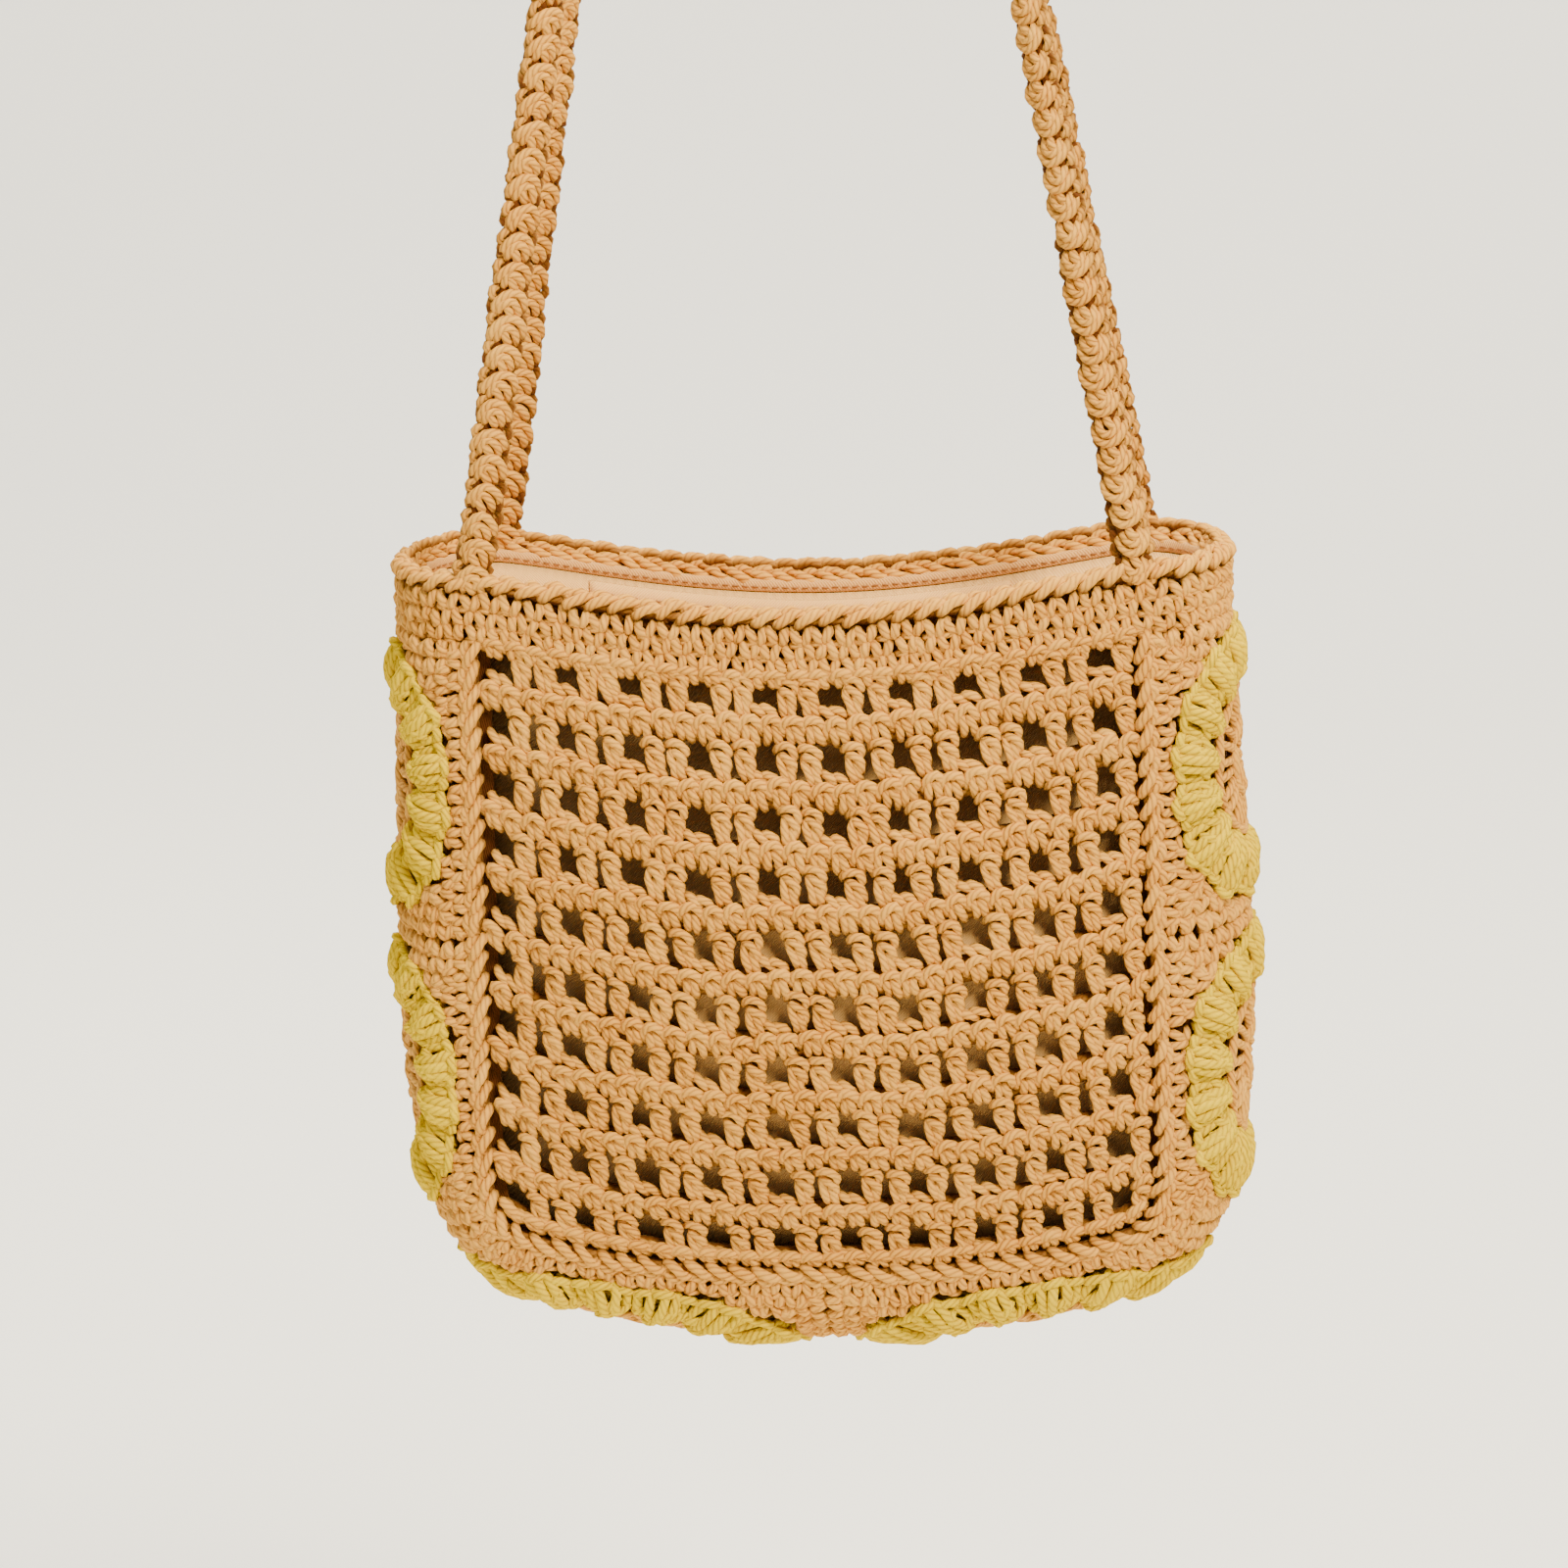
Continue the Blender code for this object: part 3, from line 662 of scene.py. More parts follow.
class PanelGround(Ground):
    """A panel between the seams, read by -1 to 1 to the viewer's right and 0 to 1 up from the bottom.

    The rows drift a little, as hand work does.
    """

    unevenness = 0.009

    def __init__(self, form: BagForm, facing: Facing) -> None:
        """Keep what the panel is read from.

        Args:
            form: The bag's form.
            facing: Which panel.
        """
        self.form = form
        self.facing = facing
        self.corner_share = 2 ** (-1 / form.sizes.corner_power)

    def point(self, a: Array, b: Array) -> Array:
        """Points of the middle surface.

        Args:
            a: From -1 to 1, to the viewer's right.
            b: From 0 to 1, up from the bottom.

        Returns:
            Points.
        """
        form, s, bulge = self.form, self.form.sizes, BULGES[self.facing]
        fade = np.clip((1 - a * a) * 4 * b * (1 - b), 0, 1)
        drift = np.sin(3.1 * a + 7.3 * b + 1.0) * np.sin(9.7 * b - 4.1 * a)
        sway = np.sin(5.3 * a - 4.9 * b + 2.0) * np.sin(6.1 * a + 8.3 * b)
        a, b = a + self.unevenness * 1.2 * fade * drift, b + self.unevenness * fade * sway
        across = -self.facing.value * a
        down = 1 - b
        share = form.seam_half_width(self.corner_share * down)
        half = s.half_width * form.taper(down) * share - s.seat
        x = across * half
        top = form.edge_height(x) - s.piece_gap
        inner = np.clip(across, -1, 1)
        bottom = form.seam_bottom(inner * s.half_width * self.corner_share) + s.seat
        swell = bulge.top * (1 - down) + bulge.middle * np.sin(math.pi * np.clip(down, 0, 1))
        y = self.facing.value * (s.half_depth + swell * (1 - np.abs(inner) ** s.bulge_power))
        return np.stack([x, y, top + (bottom - top) * down], axis=-1)


class BandGround(Ground):
    """The band, read by metres along the mouth and metres up from its lower edge."""

    def __init__(self, form: BagForm) -> None:
        """Trace the mouth.

        Args:
            form: The bag's form.
        """
        s = form.sizes
        x, y, self.out = form.mouth(900)
        low = form.edge_height(x) + s.piece_gap
        high = form.rim_height(x, y) - 2 * s.rim_radius - s.piece_gap
        self.low = np.stack([x, y, low], axis=-1)
        self.high = np.stack([x, y, high], axis=-1)
        steps = np.linalg.norm(np.diff(self.low[:, :2], axis=0, append=self.low[:1, :2]), axis=1)
        self.travelled = np.concatenate([[0], np.cumsum(steps)])
        self.length = float(self.travelled[-1])
        self.height = float(np.mean(high - low))

    def _read(self, values: Array, a: Array) -> Array:
        """Values at a distance along the mouth.

        Args:
            values: A vector for each point of the mouth.
            a: Metres along the mouth.

        Returns:
            Vectors.
        """
        closed = np.concatenate([values, values[:1]])
        a = np.mod(a, self.length)
        return np.stack([np.interp(a, self.travelled, closed[:, i]) for i in range(3)], axis=-1)

    def point(self, a: Array, b: Array) -> Array:
        """Points of the middle surface."""
        low, high = self._read(self.low, a), self._read(self.high, a)
        return low + (high - low) * (b / self.height)[..., None]

    def lay(self, a: Array, b: Array, lift: Array) -> Laid:
        """Points above the surface, along the directions out of the mouth."""
        return Laid.over(self.point(a, b), unit(self._read(self.out, a)), lift)


class CordGround(Ground):
    """A cord's line, read by metres along it, metres aside and metres out of it."""

    def __init__(self, centres: Array, aside: Array, out: Array, closed: bool = False) -> None:
        """Keep a line with its frames.

        Args:
            centres: Points of the line.
            aside: Directions aside at each point.
            out: Directions out at each point.
            closed: Whether the line is a loop.
        """
        if closed:
            centres, aside, out = (np.concatenate([v, v[:1]]) for v in (centres, aside, out))
        steps = np.linalg.norm(np.diff(centres, axis=0), axis=1)
        self.travelled = np.concatenate([[0], np.cumsum(steps)])
        self.length = float(self.travelled[-1])
        self.values = (centres, aside, out)
        self.closed = closed

    def turned_over(self) -> "CordGround":
        """The same line, seen from behind."""
        centres, aside, out = self.values
        return CordGround(centres, -aside, -out)

    def lay(self, a: Array, b: Array, lift: Array) -> Laid:
        """Points beside and above the line.

        Args:
            a: Metres along the line.
            b: Metres aside.
            lift: Metres out of it.

        Returns:
            The laid points.
        """
        a = np.mod(a, self.length) if self.closed else np.asarray(a)
        spare = a - np.clip(a, 0, self.length)
        centre, aside, out = (
            np.stack([np.interp(a, self.travelled, value[:, i]) for i in range(3)], axis=-1)
            for value in self.values
        )
        first, last = self.values[0][1] - self.values[0][0], self.values[0][-1] - self.values[0][-2]
        along = np.where(spare[..., None] > 0, unit(last), unit(first))
        centre = centre + along * spare[..., None]
        return Laid.over(centre + unit(aside) * b[..., None], unit(out), lift)


class SquareGround(Ground):
    """A granny square of the gusset, read by -1 to 1 along the seam and -1 to 1 from front to back."""

    def __init__(self, form: BagForm, start: float, end: float) -> None:
        """Keep the square's place.

        Args:
            form: The bag's form.
            start: Where it starts along the seam.
            end: Where it ends.
        """
        self.form = form
        joint = form.sizes.piece_gap * 1.5 / form.seam_length / 2
        self.start, self.end = start + joint, end - joint

    def point(self, a: Array, b: Array) -> Array:
        """Points of the middle surface."""
        travel = self.start + (self.end - self.start) * (a + 1) / 2
        return self.form.gusset(np.clip(travel, 0, 1), np.clip(b, -1.06, 1.06))

    def lay(self, a: Array, b: Array, lift: Array) -> Laid:
        """Points above the surface, whose outward normal is the other way round than a panel's.

        Args:
            a: First coordinate.
            b: Second coordinate.
            lift: Height along the outward normal, in metres.

        Returns:
            The laid points.
        """
        step = 1e-3
        along = self.point(a + step, b) - self.point(a - step, b)
        across = self.point(a, b + step) - self.point(a, b - step)
        return Laid.over(self.point(a, b), unit(np.cross(across, along)), lift)

    def polar(self, angle: Array, reach: Array, lift: Array) -> Laid:
        """Points by an angle, a reach from the middle and a height in metres."""
        return self.lay(np.cos(angle) * reach, np.sin(angle) * reach, lift)


def resample_matrix(count: int, rings: int) -> Array:
    """Weights that read a smooth curve through points at even steps.

    Args:
        count: Points of the curve.
        rings: Steps to read.

    Returns:
        A matrix of rings by points.
    """
    weights = np.zeros((rings, count))
    for row, place in enumerate(np.linspace(0, count - 1, rings)):
        i = min(int(place), count - 2)
        t = place - i
        parts = (
            (i - 1, -0.5 * t + t * t - 0.5 * t**3),
            (i, 1 - 2.5 * t * t + 1.5 * t**3),
            (i + 1, 0.5 * t + 2 * t * t - 1.5 * t**3),
            (i + 2, -0.5 * t * t + 0.5 * t**3),
        )
        for index, part in parts:
            if index < 0:
                weights[row, 0] += 2 * part
                weights[row, 1] -= part
            elif index >= count:
                weights[row, count - 1] += 2 * part
                weights[row, count - 2] -= part
            else:
                weights[row, index] += part
    return weights


class YarnMesh:
    """Collects tubes of yarn and sheets of cloth, and builds one mesh from them.

    Attributes:
        swell: How much the yarn's thickness varies, as a share.
        tip: Thickness of a strand's ends, as a share.
        growth: How much the stitches' size varies, as a share.
    """

    swell = 0.05
    tip = 0.72
    growth = 0.025

    def __init__(self, seed: int, detail: float = 1.0) -> None:
        """Start empty.

        Args:
            seed: Seed of the small differences between stitches.
            detail: Share of each stitch's rings that is kept.
        """
        self.random = np.random.default_rng(seed)
        self.detail = detail
        self.points: list[Array] = []
        self.faces: list[Array] = []
        self.maps: list[Array] = []
        self.tones: list[Array] = []
        self.heights: list[Array] = []
        self.count = 0

    def _keep(self, points: Array, faces: Array, maps: Array, tones: Array, heights: Array) -> None:
        """Add points, faces of four corners with their map, and a tone and a height for each point.

        Args:
            points: Points.
            faces: Four corners for each face.
            maps: Map of each corner.
            tones: A tone for each point.
            heights: A height for each point, in metres.
        """
        self.points.append(points.reshape(-1, 3))
        self.faces.append(faces.reshape(-1, 4) + self.count)
        self.maps.append(maps.reshape(-1, 4, 2))
        self.tones.append(tones.reshape(-1))
        self.heights.append(heights.reshape(-1) / MM)
        self.count += len(self.points[-1])

    def add_tubes(self, lines: Laid, radius: float, rings: int, tones: Array | None = None) -> None:
        """Lay tubes along lines.

        Args:
            lines: Points of each line, as lines by points.
            radius: Radius of the tubes.
            rings: Rings of each tube.
            tones: A tone from -1 to 1 for each tube.
        """
        count, sides = len(lines.points), TUBE_SIDES
        weights = resample_matrix(lines.points.shape[1], rings)
        centre = np.einsum("rk,nkc->nrc", weights, lines.points)
        outs = np.einsum("rk,nkc->nrc", weights, lines.outs)
        lifts = np.einsum("rk,nk->nr", weights, lines.lifts)
        run = unit(np.gradient(centre, axis=1))
        first = outs[:, 0]
        normal = np.empty_like(centre)
        for i in range(rings):
            first = unit(first - np.sum(first * run[:, i], axis=-1, keepdims=True) * run[:, i])
            normal[:, i] = first
        side = np.cross(run, normal)
        turn = np.arange(sides) * 2 * math.pi / sides
        swell = 1 + self.swell * self.random.standard_normal((count, rings))
        swell[:, 0] *= self.tip
        swell[:, -1] *= self.tip
        ring = np.cos(turn)[:, None] * normal[:, :, None] + np.sin(turn)[:, None] * side[:, :, None]
        spokes = radius * swell[..., None, None] * ring
        points = centre[:, :, None] + spokes
        heights = lifts[..., None] + np.sum(spokes * outs[:, :, None], axis=-1)
        steps = np.linalg.norm(np.diff(centre, axis=1), axis=-1) / MM
        along = np.concatenate([np.zeros((count, 1)), np.cumsum(steps, axis=1)], axis=1)
        along += self.random.uniform(0, 40, (count, 1))
        i, j = np.meshgrid(np.arange(rings - 1), np.arange(sides), indexing="ij")
        after = (j + 1) % sides
        near, far = i * sides, (i + 1) * sides
        body = np.stack([near + j, near + after, far + after, far + j], -1).reshape(-1, 4)
        caps = [[0, k + 3, k + 2, k + 1] for k in range(0, sides - 2, 2)]
        last = (rings - 1) * sides
        caps += [[last, last + k + 1, last + k + 2, last + k + 3] for k in range(0, sides - 2, 2)]
        caps = np.array(caps)
        local = np.concatenate([body, caps])
        faces = local[None] + (np.arange(count) * rings * sides)[:, None, None]
        around = np.concatenate(
            [
                np.stack([j / sides, (j + 1) / sides, (j + 1) / sides, j / sides], -1).reshape(-1, 4),
                (caps % sides) / sides,
            ]
        )
        u = along[:, local // sides]
        v = np.broadcast_to(around, u.shape)
        if tones is None:
            tones = self.random.uniform(-1, 1, count)
        tone = np.broadcast_to(np.asarray(tones)[:, None], (count, rings * sides))
        self._keep(points, faces, np.stack([u, v], axis=-1), tone, heights)

    def add_sheet(
        self, grid: Laid | Array, cell: tuple[float, float], wrap: bool = False, tone: float = 0.0
    ) -> None:
        """Add a sheet over a grid of points.

        Args:
            grid: Points as rows by columns.
            cell: How far the map moves over one cell along the rows and the columns.
            wrap: Whether the last row joins the first.
            tone: Tone of the sheet.
        """
        points = grid.points if isinstance(grid, Laid) else grid
        rows, columns = points.shape[:2]
        heights = grid.lifts if isinstance(grid, Laid) else np.zeros((rows, columns))
        steps = rows if wrap else rows - 1
        i, j = np.meshgrid(np.arange(steps), np.arange(columns - 1), indexing="ij")
        below = (i + 1) % rows
        corners = [i * columns + j, below * columns + j, below * columns + j + 1, i * columns + j + 1]
        u = np.stack([i, i + 1, i + 1, i], -1) * cell[0]
        v = np.stack([j, j, j + 1, j + 1], -1) * cell[1]
        tones = np.full(rows * columns, tone)
        self._keep(points, np.stack(corners, -1), np.stack([u, v], -1), tones, heights)

    def stitch(
        self,
        ground: Ground,
        a: Array,
        b: Array,
        scale: tuple[Array, Array],
        strands: Sequence[Strand],
        yarn: YarnSizes,
        turn: Array | float = 0.0,
    ) -> None:
        """Lay one kind of stitch at many places.

        Args:
            ground: What the stitches lie on.
            a: First coordinate of each stitch.
            b: Second coordinate of each stitch.
            scale: One millimetre in each coordinate.
            strands: The stitch's strands.
            yarn: Sizes of the yarn.
            turn: Turn of each stitch, in radians.
        """
        count = len(a)
        lean = (self.random.normal(0, yarn.turn, count) + turn)[:, None]
        grow = 1 + self.random.normal(0, self.growth, count)[:, None]
        shift = self.random.normal(0, yarn.wander * 1.4, (count, 2)) / MM
        tone = self.random.uniform(-1, 1, count)
        scale_a, scale_b = (np.broadcast_to(np.asarray(s, float), (count,))[:, None] for s in scale)
        for strand in strands:
            path = np.array(strand.path)
            path = path + self.random.normal(0, yarn.wander / MM, (count, *path.shape))
            x, y = path[..., 0], path[..., 1]
            right = grow * (x * np.cos(lean) - y * np.sin(lean)) + shift[:, :1]
            up = grow * (x * np.sin(lean) + y * np.cos(lean)) + shift[:, 1:]
            lines = ground.lay(a[:, None] + right * scale_a, b[:, None] + up * scale_b, path[..., 2] * MM)
            tones = tone * 0.6 + self.random.uniform(-0.4, 0.4, count)
            rings = max(5, round(strand.rings * self.detail))
            self.add_tubes(lines, yarn.radius * strand.weight, rings, tones=tones)

    def add_cloth(
        self, front: Array, back: Array, cell: tuple[float, float], wrap: bool, tone: float
    ) -> None:
        """Add a cloth with two faces and the thin edges between them.

        Args:
            front: Points of the front face, as rows by columns.
            back: Points of the back face.
            cell: How far the map moves over one cell.
            wrap: Whether the last row joins the first.
            tone: Tone of the back face, which the twill turns into painted shade.
        """
        self.add_sheet(front, cell, wrap)
        self.add_sheet(back, cell, wrap, tone)
        for column in (0, -1):
            self.add_sheet(np.stack([front[:, column], back[:, column]], axis=1), cell, wrap)
        if not wrap:
            for row in (0, -1):
                self.add_sheet(np.stack([front[row], back[row]], axis=1), cell)

    def build(self, name: str, material: bpy.types.Material, weld: bool = False) -> bpy.types.Object:
        """Make the object.

        Args:
            name: Its name.
            material: Its material.
            weld: Whether points in one place become one.

        Returns:
            The linked object.
        """
        points, faces = np.concatenate(self.points), np.concatenate(self.faces)
        mesh = bpy.data.meshes.new(name)
        mesh.vertices.add(len(points))
        mesh.vertices.foreach_set("co", points.astype(np.float32).ravel())
        mesh.loops.add(faces.size)
        mesh.loops.foreach_set("vertex_index", faces.astype(np.int32).ravel())
        mesh.polygons.add(len(faces))
        mesh.polygons.foreach_set("loop_start", np.arange(0, faces.size, 4, dtype=np.int32))
        mesh.update(calc_edges=True)
        layer = mesh.uv_layers.new(name="yarn")
        layer.data.foreach_set("uv", np.concatenate(self.maps).astype(np.float32).ravel())
        tone = mesh.attributes.new("tone", "FLOAT", "POINT")
        tone.data.foreach_set("value", np.concatenate(self.tones).astype(np.float32))
        height = mesh.attributes.new("height", "FLOAT", "POINT")
        height.data.foreach_set("value", np.concatenate(self.heights).astype(np.float32))
        mesh.shade_smooth()
        mesh.materials.append(material)
        if weld:
            joined = bmesh.new()
            joined.from_mesh(mesh)
            bmesh.ops.remove_doubles(joined, verts=joined.verts, dist=0.00001)
            bmesh.ops.recalc_face_normals(joined, faces=joined.faces)
            joined.to_mesh(mesh)
            joined.free()
        made = bpy.data.objects.new(name, mesh)
        bpy.context.scene.collection.objects.link(made)
        return made


class Palette:
    """Builds materials, each node with its settings and its links."""

    def __init__(self, name: str) -> None:
        """Start a material.

        Args:
            name: Its name, the real material.
        """
        self.material = bpy.data.materials.new(name)
        self.material.use_nodes = True
        self.tree = self.material.node_tree
        self.tree.nodes.clear()

    def add(
        self, kind: str, settings: dict[str, Any] | None, *values: Any, output: int | str = 0, **inputs: Any
    ) -> bpy.types.NodeSocket | None:
        """Add a node.

        Args:
            kind: Type of node, without its first words.
            settings: Properties of the node.
            *values: Values or sockets for its first inputs.
            output: Which output to give back.
            **inputs: Values or sockets for inputs by name, or i6, i7 and so on by number.

        Returns:
            The output, if the node has one.
        """
        node = self.tree.nodes.new("ShaderNode" + kind)
        for key, value in (settings or {}).items():
            setattr(node, key, value)
        sockets = [(node.inputs[index], value) for index, value in enumerate(values)]
        for key, value in inputs.items():
            numbered = key[0] == "i" and key[1:].isdigit()
            sockets.append((node.inputs[int(key[1:]) if numbered else key.replace("_", " ")], value))
        for socket, value in sockets:
            if isinstance(value, bpy.types.NodeSocket):
                self.tree.links.new(value, socket)
            else:
                socket.default_value = value
        return node.outputs[output] if len(node.outputs) else None

    def finish(
        self, colour: Any, roughness: float, sheen: float, height: Any, depth: float, gloss: float = 0.12
    ) -> bpy.types.Material:
        """Join the surface and the output.

        Args:
            colour: Base colour.
            roughness: Roughness.
            sheen: Weight of the sheen of loose fibres.
            height: Height for the bump.
            depth: Height of the bump in metres.
            gloss: Level of the mirror reflection.

        Returns:
            The material.
        """
        bump = self.add("Bump", None, Strength=1.0, Distance=depth, Height=height)
        surface = self.add(
            "BsdfPrincipled",
            None,
            Base_Color=colour,
            Roughness=roughness,
            Sheen_Weight=sheen,
            Sheen_Roughness=0.45,
            Sheen_Tint=linear("#F0B450"),
            Specular_IOR_Level=gloss,
            Normal=bump,
        )
        self.add("OutputMaterial", None, Surface=surface)
        return self.material


@dataclass(frozen=True)
class YarnFinish:
    """Finish of a plied cotton yarn.

    Attributes:
        name: Name of the material.
        lit: Colour of the crests of the plies.
        shade: Painted shade down between the plies.
        faded: Colour of the paler strands.
        painted_pit_shade: Painted shade deep between the stitches, where light has met much yarn on its
            way.
        plies: Plies twisted together.
        lay: Length of one full twist, in millimetres.
        depth: How deep the grooves between the plies are, in metres.
        sheen: Weight of the loose fibres' sheen.
        deep: Height above the cloth's middle where the painted shade is full, in millimetres.
        crest: Height where none of it is left.
        gloss: Level of the mirror reflection.
    """

    name: str
    lit: str
    shade: str
    faded: str
    painted_pit_shade: str
    plies: int = 4
    lay: float = 9.5
    depth: float = 0.00030
    sheen: float = 0.22
    deep: float = -1.2
    crest: float = 2.4
    gloss: float = 0.12

    def make(self) -> bpy.types.Material:
        """Plied cotton yarn: twisted plies with grooves between them, and fine fibres along each ply.

        The grooves give the eye the fine diagonal lines along every strand, with painted shade in them.

        Returns:
            The material.
        """
        made = Palette(self.name)
        uv = made.add("UVMap", {"uv_map": "yarn"})
        along = made.add("SeparateXYZ", None, uv)
        around = made.add("SeparateXYZ", None, uv, output=1)
        tone = made.add("Attribute", {"attribute_name": "tone"}, output="Fac")
        turn = made.add("Math", MULTIPLY_ADD, along, 1 / self.lay, around)
        phase = made.add("Math", MULTIPLY, turn, self.plies * math.pi)
        wave = made.add("Math", {"operation": "ABSOLUTE"}, made.add("Math", {"operation": "SINE"}, phase))
        crest = made.add("Math", {"operation": "POWER"}, wave, 0.7)
        stretched = made.add("Math", MULTIPLY, along, 0.5)
        packed = made.add("Math", MULTIPLY, turn, 26.0)
        strand = made.add("Math", MULTIPLY, tone, 7.0)
        streak = made.add("CombineXYZ", None, stretched, packed, strand)
        fibre = made.add("TexNoise", None, Vector=streak, Scale=1.6, Detail=3.0, Roughness=0.6)
        place = made.add("TexCoord", None, output="Object")
        patch = made.add("TexNoise", None, Vector=place, Scale=55.0, Detail=2.0, Roughness=0.5)
        height = made.add("Math", MULTIPLY_ADD, fibre, 0.35, crest)
        # Painted shade in the grooves between the plies, the lit colour on their crests.
        base = made.add("Mix", COLOUR_MIX, crest, i6=linear(self.shade), i7=linear(self.lit), output=2)
        uneven = made.add("Math", MULTIPLY_ADD, patch, 0.9, -0.22)
        pale = made.add("Clamp", None, made.add("Math", MULTIPLY_ADD, tone, 0.30, uneven))
        colour = made.add("Mix", COLOUR_MIX, pale, i6=base, i7=linear(self.faded), output=2)
        dust = made.add("Math", MULTIPLY, made.add("Math", MULTIPLY_ADD, fibre, 0.5, 0.12), 0.35)
        colour = made.add("Mix", COLOUR_MIX, dust, i6=colour, i7=linear(self.shade), output=2)
        # Painted shade: yarn that lies low in the cloth, deep between the stitches, is darkened by its
        # height above the cloth's middle.
        above = made.add("Attribute", {"attribute_name": "height"}, output="Fac")
        smooth = {"interpolation_type": "SMOOTHSTEP"}
        clear_of_painted_shade = made.add("MapRange", smooth, above, self.deep, self.crest)
        colour = made.add("Mix", COLOUR_MIX, clear_of_painted_shade, i6=linear(self.painted_pit_shade), i7=colour, output=2)
        return made.finish(colour, 0.88, self.sheen, height, self.depth, self.gloss)


@dataclass(frozen=True)
class TwillFinish:
    """Finish of the lining's woven cotton.

    Attributes:
        name: Name of the material.
        lit: Colour of the raised threads.
        shade: Painted shade between them.
        shaded_outside: Painted shade of the side that lies against the crochet, which darkens the gaps of
            the mesh.
        wale: Distance between two diagonal ribs, in millimetres.
    """

    name: str
    lit: str
    shade: str
    shaded_outside: str
    wale: float = 0.9

    def make(self) -> bpy.types.Material:
        """Cotton twill: fine diagonal ribs crossed by the weft, a little uneven from thread to thread.

        The ribs give the eye a faint diagonal grain, with painted shade between them.

        Returns:
            The material.
        """
        made = Palette(self.name)
        uv = made.add("UVMap", {"uv_map": "yarn"})
        along = made.add("SeparateXYZ", None, uv)
        up = made.add("SeparateXYZ", None, uv, output=1)
        diagonal = made.add("Math", {"operation": "ADD"}, along, up)
        slope = made.add("Math", MULTIPLY, diagonal, 2 * math.pi / self.wale)
        cross = made.add("Math", MULTIPLY, along, 4 * math.pi / self.wale)
        rib = made.add("Math", MULTIPLY_ADD, made.add("Math", {"operation": "SINE"}, slope), 0.5, 0.5)
        weft = made.add("Math", MULTIPLY_ADD, made.add("Math", {"operation": "SINE"}, cross), 0.2, 0.2)
        height = made.add("Math", {"operation": "ADD"}, rib, weft)
        slub = made.add("TexNoise", None, Vector=uv, Scale=1.2, Detail=3.0, Roughness=0.6)
        raised = made.add("Math", MULTIPLY, height, 0.6)
        # Painted shade between the raised threads, the lit colour on them.
        colour = made.add("Mix", COLOUR_MIX, raised, i6=linear(self.shade), i7=linear(self.lit), output=2)
        uneven = made.add("Math", MULTIPLY, slub, 0.3)
        colour = made.add("Mix", COLOUR_MIX, uneven, i6=colour, i7=linear(self.shade), output=2)
        # Painted shade on the sack's outer face, where it lies behind the crochet, by the tone attribute.
        outer = made.add("Attribute", {"attribute_name": "tone"}, output="Fac")
        colour = made.add("Mix", COLOUR_MIX, outer, i6=colour, i7=linear(self.shaded_outside), output=2)
        return made.finish(colour, 0.85, 0.1, height, 0.00012)


@dataclass(frozen=True)
class PlainFinish:
    """Finish of a plain smooth material.

    Attributes:
        name: Name of the material.
        colour: Colour.
        roughness: Roughness.
    """

    name: str
    colour: str
    roughness: float = 0.7

    def make(self) -> bpy.types.Material:
        """A plain surface with a fine grain, which keeps it matt to the eye.

        Returns:
            The material.
        """
        made = Palette(self.name)
        place = made.add("TexCoord", None, output="Object")
        grain = made.add("TexNoise", None, Vector=place, Scale=900.0, Detail=2.0, Roughness=0.5)
        return made.finish(linear(self.colour), self.roughness, 0.0, grain, 0.00002)


@dataclass
class Materials:
    """The materials of the bag and of the studio."""

    sand: bpy.types.Material = field(init=False)
    yellow: bpy.types.Material = field(init=False)
    twill: bpy.types.Material = field(init=False)
    hem: bpy.types.Material = field(init=False)
    thread: bpy.types.Material = field(init=False)
    paper: bpy.types.Material = field(init=False)

    def __post_init__(self) -> None:
        """Make them all."""
        # Each yarn's colours: crests, painted shade in the ply grooves, paler strands, painted shade deep
        # between the stitches.
        self.sand = YarnFinish("plied_cotton_yarn_sand", "#E2A23C", "#9C6022", "#EAB24E", "#5C300C").make()
        yellows = ("#DEBC00", "#AA8200", "#EAC800", "#765000")
        self.yellow = YarnFinish("plied_cotton_yarn_yellow", *yellows, sheen=0.0, gloss=0.02).make()
        # The lining's last colour is painted shade on its outer face.
        self.twill = TwillFinish("cotton_twill_tan", "#FFD688", "#E8AC5C", "#A06C34").make()
        # The hem's twill is a darker copy of the sack's: painted shade on the folded edge under the rim.
        self.hem = TwillFinish("cotton_twill_hem", "#EEBC72", "#C48E4A", "#A06C34").make()
        self.thread = PlainFinish("polyester_thread", "#9A6A38", 0.5).make()
        self.paper = PlainFinish("matt_backdrop_paper", "#FFFBEE", 0.95).make()


@dataclass
class Part:
    """One sub-assembly of the bag.

    Attributes:
        form: The bag's form.
        yarn: Sizes of the yarn.
        materials: All materials.
    """

    form: BagForm
    yarn: YarnSizes
    materials: Materials

    def place(self, made: bpy.types.Object, slot: Slot, *nodes: str) -> bpy.types.Object:
        """Tie a finished piece to the CAD.

        Args:
            made: The piece.
            slot: Its material slot; not used.
            *nodes: CAD nodes that it stands for.

        Returns:
            The piece.
        """
        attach(made, "root")
        if nodes:
            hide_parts(*nodes)
        faces = len(made.data.polygons)
        LOG.info("%s: %d faces of four corners", made.name, faces)
        return made


